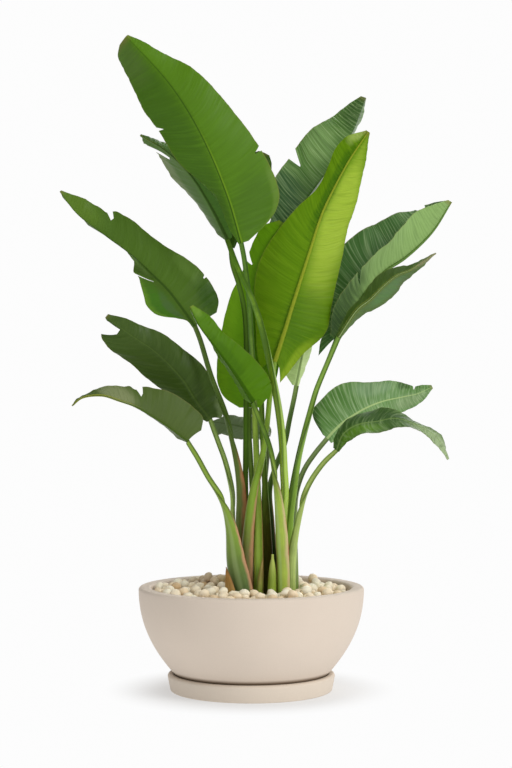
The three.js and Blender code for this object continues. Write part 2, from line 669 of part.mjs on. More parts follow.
// A point of the middle surface of a blade. part runs from 0 at the midrib's edge to 1 at the
// margin, and is negative on the midrib itself.
function bladePoint(leaf, rib, row, side, part) {
  const half = side < 0 ? leaf.left : leaf.right;
  const share = veinShare(row, half, Math.max(0, part));
  const inside = THREE.MathUtils.clamp(share, 0, 1);
  const along = rib.getTangentAt(inside);
  const point = rib.getPointAt(inside).addScaledVector(along, (share - inside) * rib.getLength());
  const right = new THREE.Vector3().crossVectors(AWAY, along).normalize();
  const away = new THREE.Vector3().crossVectors(along, right);
  point.addScaledVector(away, (-leaf.face * keelDepth(inside)) / 2);
  point.addScaledVector(rib.getTangentAt(0), (GAP / 2) * (1 - inside));
  if (part < 0) return point;
  const ribHalf = (RIB_WIDTH_BASE + (RIB_WIDTH_TIP - RIB_WIDTH_BASE) * inside ** RIB_TAPER) / 2;
  const reach = Math.max(LEAST_REACH, between(half.reach, veinShare(row, half, 1)) - ribHalf);
  const lean = between(half.lean, row.share);
  const outward = right.clone().multiplyScalar(side);
  point.addScaledVector(turnedFrom(outward, away, radians(lean)), ribHalf);
  for (let step = 0; step < CURL_STEPS; step += 1) {
    const angle = radians(lean + (2 * half.curl * part * (step + 0.5)) / CURL_STEPS);
    point.addScaledVector(turnedFrom(outward, away, angle), (reach * part) / CURL_STEPS);
  }
  const margin = radians(lean + (2 * half.curl * part * (CURL_STEPS - 0.5)) / CURL_STEPS);
  const facing = turnedFrom(away, outward.negate(), margin);
  const [waveHeight, waveCount] = leaf.wave;
  const swing = Math.sin(2 * Math.PI * waveCount * share + side);
  return point.addScaledVector(facing, waveHeight * part * part * swing);
}

// Points of the middle surface of a blade, row by row from its left margin to its right
function bladeGrid(leaf, rows) {
  const rib = ribRoute(leaf);
  return rows.map((row) => {
    const left = columnParts(row, leaf.left).map((part) => bladePoint(leaf, rib, row, -1, part));
    const right = columnParts(row, leaf.right).map((part) => bladePoint(leaf, rib, row, 1, part));
    return [...left.reverse(), bladePoint(leaf, rib, row, 1, -1), ...right];
  });
}

// True where a tear leaves out the cell between two rows
function isTorn(leaf, before, after, column) {
  if (!before.tear || before.tear !== after.tear) return false;
  const outer = leaf.left.tears.includes(before.tear) ? 0 : 2 * BLADE_COLUMNS + 1;
  return column === outer;
}

// A blade as one thin closed body with a keel under its midrib
function bladeGeometry(leaf) {
  const rows = bladeRows(leaf);
  const grid = bladeGrid(leaf, rows);
  const wide = grid[0].length;
  const middle = (wide - 1) / 2;
  const tops = [];
  const bottoms = [];
  grid.forEach((line, row) => line.forEach((point, column) => {
    const before = grid[Math.max(0, row - 1)][column];
    const after = grid[Math.min(grid.length - 1, row + 1)][column];
    const left = line[Math.max(0, column - 1)];
    const right = line[Math.min(wide - 1, column + 1)];
    const across = right.clone().sub(left);
    const along = after.clone().sub(before);
    const normal = new THREE.Vector3().crossVectors(across, along).normalize();
    const near = BLADE_THICKNESS / 2;
    const keel = column === middle ? keelDepth(rows[row].share) - near : near;
    const nearSide = leaf.face > 0 ? near : keel;
    const farSide = leaf.face > 0 ? keel : near;
    tops.push(point.clone().addScaledVector(normal, nearSide));
    bottoms.push(point.clone().addScaledVector(normal, -farSide));
  }));
  const count = tops.length;
  const triangles = [];
  const edges = new Map();
  for (let row = 0; row + 1 < grid.length; row += 1) {
    for (let column = 0; column + 1 < wide; column += 1) {
      if (isTorn(leaf, rows[row], rows[row + 1], column)) continue;
      const a = row * wide + column;
      const b = a + 1;
      const c = a + wide + 1;
      const d = a + wide;
      for (const [i, j, k] of [[a, b, c], [a, c, d]]) {
        triangles.push([i, j, k], [count + i, count + k, count + j]);
      }
      for (const [i, j] of [[a, b], [b, c], [c, d], [d, a]]) {
        const reverse = `${j},${i}`;
        if (edges.has(reverse)) edges.delete(reverse);
        else edges.set(`${i},${j}`, [i, j]);
      }
    }
  }
  for (const [i, j] of edges.values()) {
    triangles.push([i, count + i, count + j], [i, count + j, j]);
  }
  return geometryFrom([...tops, ...bottoms], triangles);
}

// A short pointed shoot or scale
function shootRings(shoot, grow = 0) {
  const route = smoothRoute(shoot.route);
  const open = compass(shoot.open);
  const across = new THREE.Vector3().crossVectors(open, UP);
  return SHOOT_SHARES.map((share) => {
    const centre = route.getPointAt(share);
    if (share === 0) centre.z = STALK_FOOT;
    const taper = Math.max(shoot.tip, 1 - share ** shoot.bluntness);
    const depth = shoot.depth * taper;
    const section = crescent(shoot.width * taper, depth, depth * SHOOT_CHANNEL, grow);
    return section.map(([x, y]) => centre.clone().addScaledVector(across, x).addScaledVector(open, y));
  });
}

function saucerGeometry() {
  const inner = SAUCER_RADIUS - SAUCER_LIP;
  const outline = new THREE.Path();
  outline.moveTo(0, 0);
  outline.lineTo(SAUCER_FOOT_RADIUS - SAUCER_FOOT_ROUNDING, 0);
  outline.quadraticCurveTo(SAUCER_FOOT_RADIUS, 0, SAUCER_FOOT_RADIUS, SAUCER_FOOT_ROUNDING);
  outline.lineTo(SAUCER_RADIUS, SAUCER_HEIGHT - SAUCER_RIM_ROUNDING);
  const rim = SAUCER_RADIUS - SAUCER_RIM_ROUNDING;
  outline.quadraticCurveTo(SAUCER_RADIUS, SAUCER_HEIGHT, rim, SAUCER_HEIGHT);
  outline.lineTo(inner + SAUCER_BEVEL, SAUCER_HEIGHT);
  outline.lineTo(inner, SAUCER_HEIGHT - SAUCER_BEVEL);
  outline.lineTo(inner - SAUCER_SLOPE, SAUCER_FLOOR);
  outline.lineTo(0, SAUCER_FLOOR);
  return turned(outline.getPoints(3));
}

// Outer side of the bowl, from its foot to just under its rim
const bowlSide = new THREE.CubicBezierCurve(
  new THREE.Vector2(BOWL_FOOT_RADIUS, BOWL_STAND),
  new THREE.Vector2(...BOWL_BELLY),
  new THREE.Vector2(...BOWL_SHOULDER),
  new THREE.Vector2(BOWL_RADIUS, BOWL_HEIGHT - RIM_ROUNDING),
);

function bowlGeometry() {
  const outside = bowlSide.getPoints(BOWL_SIDE_STEPS);
  const corner = RIM_ROUNDING * (1 - Math.SQRT1_2);
  const mouth = BOWL_RADIUS - BOWL_WALL;
  const rim = [
    new THREE.Vector2(BOWL_RADIUS - corner, BOWL_HEIGHT - corner),
    new THREE.Vector2(BOWL_RADIUS - RIM_ROUNDING, BOWL_HEIGHT),
    new THREE.Vector2(mouth + RIM_ROUNDING, BOWL_HEIGHT),
    new THREE.Vector2(mouth + corner, BOWL_HEIGHT - corner),
  ];
  const inside = insidePoints(0);
  return turned([new THREE.Vector2(0, BOWL_STAND), ...outside, ...rim, ...inside,
    new THREE.Vector2(0, BOWL_STAND + BOWL_BASE)]);
}

// Inner side of the bowl from the rim down to its floor, drawn in by a clearance
function insidePoints(clearance) {
  const points = [];
  for (let step = BOWL_INSIDE_STEPS; step > 0; step -= 1) {
    const outer = bowlSide.getPoint(step / BOWL_INSIDE_STEPS);
    points.push(new THREE.Vector2(outer.x - BOWL_WALL - clearance, outer.y));
  }
  points.push(new THREE.Vector2(BOWL_FLOOR_RADIUS - clearance, BOWL_STAND + BOWL_BASE + clearance));
  return points;
}

// Radius of the bowl's inside at a height, less a clearance
function insideRadius(height, clearance) {
  const line = insidePoints(clearance);
  for (let i = 0; i + 1 < line.length; i += 1) {
    if (height <= line[i].y && height >= line[i + 1].y) {
      const part = (height - line[i + 1].y) / (line[i].y - line[i + 1].y);
      return line[i + 1].x + (line[i].x - line[i + 1].x) * part;
    }
  }
  return line[0].x;
}

// The rootstock, or with a clearance the well it stands in: a half ball on a unit circle, widened
function rootGeometry(clearance) {
  const bottom = SOIL_TOP - ROOT_DEPTH - clearance;
  const bulge = SOIL_TOP - ROOT_DEPTH * ROOT_FULLNESS;
  const outline = new THREE.Path();
  outline.moveTo(0, bottom);
  outline.bezierCurveTo(ROOT_FULLNESS, bottom, 1, bulge, 1, SOIL_TOP - ROOT_NECK);
  outline.lineTo(1, SOIL_TOP);
  outline.lineTo(0, SOIL_TOP);
  const geometry = turned(outline.getPoints(4), ROOT_STEPS);
  geometry.scale(ROOT_RADII[0] + clearance, ROOT_RADII[1] + clearance, 1);
  geometry.translate(ROOT_CENTRE[0], ROOT_CENTRE[1], 0);
  return geometry;
}

function soilGeometry() {
  const side = insidePoints(GAP).filter((point) => point.y < SOIL_TOP - CUT_PAST).reverse();
  const outline = [new THREE.Vector2(0, BOWL_STAND + BOWL_BASE + GAP), ...side,
    new THREE.Vector2(insideRadius(SOIL_TOP, GAP), SOIL_TOP), new THREE.Vector2(0, SOIL_TOP)];
  const well = rootGeometry(GAP);
  const above = rootGeometry(GAP);
  above.translate(0, 0, CUT_PAST);
  return fromSolid(toSolid(turned(outline)).subtract(toSolid(well)).subtract(toSolid(above)));
}

// One low pebble: a faceted ball pressed flat and turned
function pebble(x, y, z, size, draw) {
  const ball = new THREE.IcosahedronGeometry(1, 0);
  const long = size * within(PEBBLE_LENGTHS, draw);
  ball.scale(long, size * within(PEBBLE_WIDTHS, draw), size * PEBBLE_FLATNESS);
  ball.rotateZ(Math.PI * draw());
  ball.rotateX(radians(within(PEBBLE_TIPS, draw)));
  ball.translate(x, y, z);
  return toSolid(ball);
}

// Opening that the clump of stalks fills in the layer of pebbles
function clumpOpening() {
  const stalks = LEAVES.map((leaf) => stalkRings(leaf, GAP));
  const shoots = SHOOTS.map((shoot) => shootRings(shoot, GAP));
  const top = PEBBLE_BED_TOP + 2 * PEBBLE_RADIUS;
  const points = [];
  for (const rings of [...stalks, ...shoots]) {
    for (const point of rings.flat().filter((p) => p.z < top)) {
      points.push(point.clone().setZ(SOIL_TOP - CUT_PAST), point.clone().setZ(top));
    }
  }
  return toSolid(new ConvexGeometry(points));
}

// Layer of pebbles round the clump, each stone sunk into the layer under it
function pebbleGeometry() {
  const draw = seededDraws(11);
  const foot = SOIL_TOP + GAP;
  const topRadius = insideRadius(PEBBLE_BED_TOP, GAP);
  const outline = [
    new THREE.Vector2(0, foot),
    new THREE.Vector2(insideRadius(foot, GAP), foot),
    new THREE.Vector2(topRadius, PEBBLE_BED_TOP),
    new THREE.Vector2(0, PEBBLE_BED_TOP),
  ];
  let bed = toSolid(turned(outline));
  const reach = topRadius - PEBBLE_CLEARANCE;
  for (let i = 0; i < PEBBLE_COUNT; i += 1) {
    const radius = reach * Math.sqrt((i + 0.5) / PEBBLE_COUNT);
    const angle = i * GOLDEN_ANGLE;
    const x = radius * Math.cos(angle) + within(PEBBLE_SHIFTS, draw);
    const y = radius * Math.sin(angle) + within(PEBBLE_SHIFTS, draw);
    const heap = HEAP_HEIGHT * Math.max(0, (y - x) / (2 * reach));
    const z = PEBBLE_BED_TOP + heap + within(PEBBLE_STANDS, draw);
    const stone = pebble(x, y, z, PEBBLE_RADIUS * within(PEBBLE_SIZES, draw), draw);
    if (Math.hypot(x - ROOT_CENTRE[0], y - ROOT_CENTRE[1]) > PEBBLE_START) bed = bed.add(stone);
  }
  return fromSolid(bed.subtract(clumpOpening()));
}

const plant = new THREE.Group();
plant.add(piece('saucer', saucerGeometry(), 0xd9c9b8, 0.75));
plant.add(piece('bowl', bowlGeometry(), 0xdccdbd, 0.75));
plant.add(piece('soil', soilGeometry(), 0x2c2118, 0.95));
plant.add(piece('rootstock', rootGeometry(0), 0x8a6a48, 0.9));
plant.add(piece('pebbles', pebbleGeometry(), 0xe8dcc2, 0.7));

for (const leaf of LEAVES) {
  plant.add(piece(`stalk_${leaf.name}`, loft(stalkRings(leaf)), 0x6f9340, 0.45));
  plant.add(piece(`blade_${leaf.name}`, bladeGeometry(leaf), leaf.colour, 0.4));
}
for (const shoot of SHOOTS) {
  plant.add(piece(shoot.name, loft(shootRings(shoot)), shoot.colour, 0.6));
}

export default plant;
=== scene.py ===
# %% [markdown]
# # A potted bird of paradise
# The real plant is a clump of sixteen long stalked leaves that grows from one rootstock in a wide
# bowl of soil, topped with cream pebbles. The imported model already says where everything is, in
# metres, with the middle of the saucer's underside at the origin. This lesson dresses it: finer
# meshes take the places of the plain solids, and each gets its own procedural finish.

# %% Blender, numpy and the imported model
import math

import bpy
import numpy as np
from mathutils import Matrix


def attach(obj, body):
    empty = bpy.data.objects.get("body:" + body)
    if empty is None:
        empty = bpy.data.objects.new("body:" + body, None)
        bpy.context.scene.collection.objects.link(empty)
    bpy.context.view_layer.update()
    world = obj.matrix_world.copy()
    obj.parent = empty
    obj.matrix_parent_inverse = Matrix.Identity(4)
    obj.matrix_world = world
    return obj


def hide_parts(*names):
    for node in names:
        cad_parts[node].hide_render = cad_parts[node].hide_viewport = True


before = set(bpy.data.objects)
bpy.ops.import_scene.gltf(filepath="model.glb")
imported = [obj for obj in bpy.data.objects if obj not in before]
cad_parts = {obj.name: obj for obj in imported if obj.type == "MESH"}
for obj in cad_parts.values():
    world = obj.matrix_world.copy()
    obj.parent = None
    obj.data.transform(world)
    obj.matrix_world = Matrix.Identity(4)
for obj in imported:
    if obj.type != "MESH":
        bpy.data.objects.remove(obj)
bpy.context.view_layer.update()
MM = 0.001
print("nodes to dress:", len(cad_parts))

# %% [markdown]
# An operator works on whatever is selected, and loading the model leaves its nodes selected. So
# every piece starts and ends with one small helper that selects a single object. Another hangs a
# finished piece under the root and hides the nodes that it stands for.

# %% Selecting, and handing a finished piece in
def only(obj):
    if bpy.context.mode != "OBJECT":
        bpy.ops.object.mode_set(mode="OBJECT")
    bpy.ops.object.select_all(action="DESELECT")
    obj.select_set(True)
    bpy.context.view_layer.objects.active = obj


def stands_for(obj, slot, *nodes):
    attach(obj, "root")
    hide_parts(*nodes)


bpy.ops.object.select_all(action="DESELECT")

# %% [markdown]
# A finish is a small network of shader nodes. Written as plain expressions it stays readable, so
# one class wraps a node's output and turns + - * / ** into Math nodes, also with the number on
# the left.

# %% A wire between shader nodes
class Wire:
    """The output of a node, to be used in sums and as what another node gets."""

    def __init__(self, finish, socket):
        self.finish = finish
        self.socket = socket

    def maths(self, operation, *others, clamp=False):
        settings = {"operation": operation, "use_clamp": clamp}
        values = dict(enumerate((self,) + others))
        return self.finish.add("ShaderNodeMath", settings, values)

    def __add__(self, other):
        return self.maths("ADD", other)

    def __radd__(self, other):
        return self.maths("ADD", other)

    def __sub__(self, other):
        return self.maths("SUBTRACT", other)

    def __rsub__(self, other):
        return self.maths("MULTIPLY_ADD", -1.0, other)

    def __mul__(self, other):
        return self.maths("MULTIPLY", other)

    def __rmul__(self, other):
        return self.maths("MULTIPLY", other)

    def __truediv__(self, other):
        return self.maths("DIVIDE", other)

    def __pow__(self, other):
        return self.maths("POWER", other)

    def clamped(self):
        return self.maths("ADD", 0.0, clamp=True)

    def above(self, low, high):
        """0 up to low, 1 from high, and smooth between them."""
        settings = {"interpolation_type": "SMOOTHSTEP"}
        values = {"Value": self, "From Min": low, "From Max": high}
        return self.finish.add("ShaderNodeMapRange", settings, values)


print("a wire works with + - * / and **")

# %% [markdown]
# Everything that isn't plain arithmetic comes from one method, which takes the kind of node, its
# settings and what its sockets get. The sky of the studio is such a network as well, so the same
# class makes it. Colours are written as on a paint chart and turned into the shader's own scale.

# %% A colour, and a finish
def tint(red, green, blue):
    """A colour as a paint chart gives it, from 0 to 255, as the shader wants it."""
    values = np.array([red, green, blue]) / 255
    linear = np.where(values <= 0.04045, values / 12.92, ((values + 0.055) / 1.055) ** 2.4)
    return (*linear.tolist(), 1.0)


class Finish:
    """The nodes of a material, or of the world behind everything."""

    def __init__(self, name, world=False):
        self.owner = (bpy.data.worlds if world else bpy.data.materials).new(name)
        self.ending = "ShaderNodeOutputWorld" if world else "ShaderNodeOutputMaterial"
        self.owner.use_nodes = True
        self.nodes = self.owner.node_tree.nodes
        self.links = self.owner.node_tree.links
        self.nodes.clear()

    def add(self, kind, settings=None, values=None, output=0):
        node = self.nodes.new(kind)
        for key, value in (settings or {}).items():
            setattr(node, key, value)
        for key, value in (values or {}).items():
            if isinstance(value, Wire):
                self.links.new(value.socket, node.inputs[key])
            else:
                node.inputs[key].default_value = value
        return Wire(self, node.outputs[output]) if node.outputs else None

    def place(self):
        return self.add("ShaderNodeTexCoord", output="Object")

    def part(self, vector, axis):
        """One of the three numbers of a vector."""
        return self.add("ShaderNodeSeparateXYZ", values={0: vector}, output=axis)

    def across_and_along(self):
        """The piece's own UV map, as two wires."""
        uv = self.add("ShaderNodeTexCoord", output="UV")
        return self.part(uv, "X"), self.part(uv, "Y")

    def attribute(self, name):
        return self.add("ShaderNodeAttribute", {"attribute_name": name}, output="Fac")

    def vector(self, x, y, z=0.0):
        return self.add("ShaderNodeCombineXYZ", values={0: x, 1: y, 2: z})

    def noise(self, at, scale, detail=2.0, roughness=0.5):
        values = {"Vector": at, "Scale": scale, "Detail": detail, "Roughness": roughness}
        return self.add("ShaderNodeTexNoise", values=values)

    def blend(self, share, under, over):
        """Two colours mixed by a share."""
        values = {0: share, 6: under, 7: over}
        return self.add("ShaderNodeMix", {"data_type": "RGBA"}, values, output=2)

    def bump(self, height, depth, strength=1.0):
        values = {"Height": height, "Distance": depth, "Strength": strength}
        return self.add("ShaderNodeBump", values=values)

    def distance(self, place, point=(0, 0, 0)):
        values = {0: place, 1: point}
        return self.add("ShaderNodeVectorMath", {"operation": "DISTANCE"}, values, output="Value")

    def skin(self, colour, roughness, normal, gloss=0.5):
        return self.add("ShaderNodeBsdfPrincipled", values={
            "Base Color": colour, "Roughness": roughness, "Normal": normal,
            "Specular IOR Level": gloss})

    def surface(self, shader):
        self.add(self.ending, values={"Surface": shader})
        return self.owner


print("middle grey, as the shader wants it:", round(tint(128, 128, 128)[0], 3))

# %% [markdown]
# ## The shapes of the leaves
# Each leaf is a stalk that turns into a midrib, with two half blades beside it. The numbers are
# the ones that shape the solids, in millimetres: the route of the stalk and of the midrib, how
# far each margin stands from the midrib, how the halves lean and curl, and where wind or handling
# has torn them between two side veins.

# %% The four tallest leaves
LEAVES = [
  {
    "name": "tall_left", "face": 1, "petiole": 14, "sheath": [20, 15, 0.4, 60], "wave": [4, 2.5],
    "stalk": [[12, -24, 168], [12, -24, 258], [11, -14, 380], [7, 2, 518], [0, 0, 680],
      [-5, -8, 782], [-10, -20, 828], [-15, -30, 864], [-20, -34, 889]],
    "rib": [[-48, -46, 983], [-97, -56, 1097], [-157, -58, 1195], [-247, -44, 1297]],
    "left": {
      "reach": [[0, 6], [0.1, 18], [0.2, 24], [0.3, 43], [0.4, 63], [0.5, 71], [0.7, 78], [0.8, 69],
        [0.88, 60], [0.95, 54], [0.98, 46], [1, 26]],
      "lean": [[0, 15], [0.5, 12], [1, 30]], "curl": 8, "tears": [[0.53, 0.16, 0.02]],
    },
    "right": {
      "reach": [[0, 16], [0.05, 66], [0.1, 95], [0.16, 106], [0.3, 101], [0.4, 94], [0.5, 84],
        [0.6, 74], [0.7, 61], [0.8, 45], [0.9, 29], [1, 5]],
      "lean": [[0, 10], [0.5, 8], [1, 20]], "curl": 8, "tears": [[0.28, 0.14, 0.02]],
    },
  },
  {
    "name": "behind_left", "face": 1, "petiole": 22, "sheath": [22, 16, 0.3, 200], "wave": [3, 2.5],
    "stalk": [[60, -8, 168], [64, -10, 338], [68, -20, 398], [66, -28, 438], [63, -36, 498],
      [56, -42, 558], [45, -50, 618], [24, -56, 712], [4, -54, 774], [-14, -46, 812],
      [-29, -32, 846], [-48, -8, 898]],
    "rib": [[-83, 8, 968], [-123, 20, 1031], [-173, 28, 1080], [-224, 28, 1112]],
    "left": {
      "reach": [[0, 8], [0.1, 30], [0.3, 54], [0.5, 64], [0.65, 68], [0.75, 60], [0.82, 46],
        [0.87, 32], [0.9, 24], [0.96, 20], [1, 8]],
      "lean": [[0, 60], [0.5, 60], [1, 70]], "curl": 8, "lead": 0.26, "tears": [[0.65, 0.5, 0.055]],
    },
    "right": {
      "reach": [[0, 12], [0.1, 40], [0.3, 60], [0.6, 58], [0.85, 30], [1, 6]],
      "lean": [[0, 30], [1, 55]], "curl": 8, "tears": [],
    },
  },
  {
    "name": "upper_back", "face": 1, "petiole": 13, "sheath": [22, 15, 0.35, 240], "wave": [3, 3],
    "stalk": [[36, 12, 168], [34, 24, 300], [27, 50, 450], [22, 74, 560], [18, 88, 700],
      [16, 90, 820], [21, 86, 900]],
    "rib": [[69, 92, 930], [120, 100, 999], [172, 106, 1071], [209, 106, 1131], [235, 100, 1199]],
    "left": {
      "reach": [[0, 8], [0.1, 30], [0.2, 54], [0.3, 76], [0.4, 82], [0.5, 84], [0.6, 86], [0.7, 80],
        [0.8, 65], [0.9, 44], [1, 12]],
      "lean": [[0, 8], [0.5, 10], [1, 25]], "curl": 5, "tears": [[0.45, 0.42, 0.07]],
    },
    "right": {
      "reach": [[0, 8], [0.2, 45], [0.5, 78], [0.8, 48], [1, 5]],
      "lean": [[0, 60], [0.5, 82], [0.8, 78], [1, 68]], "curl": 5, "tears": [],
    },
  },
  {
    "name": "bright_centre", "face": -1, "petiole": 15, "sheath": [26, 17, 0.72, 70], "wave": [3, 2],
    "stalk": [[-11, -28, 168], [-11, -30, 258], [-6, -34, 330], [4, -36, 400], [16, -34, 444],
      [26, -26, 490], [33, -12, 545], [39, 0, 602], [47, 8, 654]],
    "rib": [[67, 14, 716], [85, 20, 774], [117, 28, 874], [143, 30, 954], [167, 28, 1005],
      [197, 22, 1060], [235, 10, 1116]],
    "left": {
      "reach": [[-0.04, 22], [0, 36], [0.1, 57], [0.2, 76], [0.3, 91], [0.4, 91], [0.5, 78], [0.6, 56],
        [0.7, 33], [0.8, 32], [0.88, 38], [0.94, 32], [1, 6]],
      "lean": [[0, 10], [0.5, 6], [0.8, 10], [1, 30]], "curl": 5, "tears": [],
    },
    "right": {
      "reach": [[-0.07, 24], [0, 40], [0.08, 56], [0.15, 78], [0.2, 85], [0.3, 78], [0.4, 72],
        [0.6, 65], [0.7, 61], [0.8, 49], [0.9, 32], [1, 4]],
      "lean": [[0, 12], [0.5, 10], [1, 35]], "curl": 8, "tears": [],
    },
  },
]
print("leaves:", len(LEAVES))

# %% [markdown]
# Two leaves reach out to the right from one height, the rear one with a half folded over and the
# front one with both halves folded up. In the middle a young leaf leans to the left in front of
# the stalks, and another stands upright behind them.

# %% Leaves on the upper right and in the middle
LEAVES += [
  {
    "name": "right_upper_back", "face": -1, "petiole": 13, "sheath": [22, 15, 0.35, 150], "wave": [3, 3],
    "stalk": [[58, 34, 168], [74, 36, 340], [97, 42, 464], [120, 46, 553], [132, 49, 597],
      [150, 51, 641], [173, 56, 700]],
    "rib": [[211, 64, 762], [240, 70, 806], [276, 76, 843], [315, 80, 869],
      [370, 84, 921], [410, 86, 983]],
    "left": {
      "reach": [[0, 20], [0.1, 46], [0.25, 58], [0.5, 60], [0.65, 74], [0.8, 64], [0.9, 42], [1, 8]],
      "lean": [[0, -30], [0.5, -38], [0.85, -15], [1, 0]], "curl": -10, "tears": [[0.3, 0.6, 0.03]],
    },
    "right": {
      "reach": [[-0.12, 18], [-0.05, 30], [0, 34], [0.1, 44], [0.2, 70], [0.3, 88], [0.4, 108],
        [0.5, 110], [0.6, 107], [0.7, 98], [0.8, 86], [0.88, 64], [0.93, 50], [1, 10]],
      "lean": [[0, 140], [0.5, 148], [1, 140]], "curl": 5, "tears": [[0.87, 0.3, 0.05]],
    },
  },
  {
    "name": "right_upper_front", "face": 1, "petiole": 15, "sheath": [24, 16, 0.35, 160], "wave": [2, 2],
    "stalk": [[72, 10, 168], [80, 6, 340], [87, 1, 396], [96, -6, 464], [118, -15, 553],
      [130, -18, 597], [147, -22, 641], [173, -28, 702]],
    "rib": [[210, -38, 757], [234, -44, 776], [261, -50, 803], [286, -54, 823],
      [314, -58, 835], [363, -62, 867]],
    "left": {
      "reach": [[0, 10], [0.15, 22], [0.3, 27], [0.45, 41], [0.55, 44], [0.7, 32], [0.85, 14], [1, 3]],
      "lean": [[0, 58], [1, 62]], "curl": 0, "tears": [],
    },
    "right": {
      "reach": [[0, 8], [0.1, 17], [0.2, 28], [0.3, 34], [0.4, 45], [0.5, 56], [0.6, 54], [0.7, 36],
        [0.82, 14], [1, 3]],
      "lean": [[0, 58], [1, 62]], "curl": 0, "tears": [],
    },
  },
  {
    "name": "young_front", "face": 1, "petiole": 11, "sheath": [25, 17, 0.7, 60],
    "sheath_start": 0.3, "wave": [2, 2],
    "stalk": [[62, -49, 168], [60, -49, 258], [54, -49, 358], [46, -52, 428], [35, -56, 488],
      [13, -64, 548], [3, -70, 574]],
    "rib": [[-2, -72, 580], [-30, -82, 624], [-69, -92, 678], [-102, -98, 723], [-120, -100, 760]],
    "left": {
      "reach": [[0, 14], [0.1, 40], [0.3, 48], [0.6, 36], [0.85, 20], [1, 6]],
      "lean": [[0, 70], [0.4, 85], [1, 90]], "curl": 0, "tears": [],
    },
    "right": {
      "reach": [[-0.08, 30], [-0.03, 50], [0.05, 57], [0.15, 58], [0.3, 52], [0.5, 42], [0.65, 35],
        [0.8, 34], [0.9, 26], [1, 10]],
      "lean": [[0, 10], [0.6, 15], [1, 30]], "curl": 8, "tears": [],
    },
  },
  {
    "name": "centre_left_back", "face": 1, "petiole": 13, "sheath": [22, 15, 0.5, 250], "wave": [3, 2],
    "stalk": [[12, 36, 168], [8, 38, 300], [-2, 42, 470], [-5, 44, 520], [-3, 46, 562]],
    "rib": [[-3, 50, 680], [7, 54, 780], [27, 54, 872], [64, 50, 938]],
    "left": {
      "reach": [[0, 22], [0.05, 50], [0.12, 65], [0.2, 69], [0.3, 67], [0.4, 61], [0.5, 55], [0.6, 49],
        [0.7, 37], [0.8, 34], [0.93, 32], [1, 10]],
      "lean": [[0, 5], [1, 15]], "curl": 5, "tears": [[0.72, 0.5, 0.04]],
    },
    "right": {
      "reach": [[0, 20], [0.1, 50], [0.3, 64], [0.5, 60], [0.8, 36], [1, 6]],
      "lean": [[0, 5], [1, 10]], "curl": 5, "tears": [],
    },
  },
]
print("leaves:", len(LEAVES))

# %% [markdown]
# Three leaves reach out to the left, one above the other. The lowest droops at its tip.

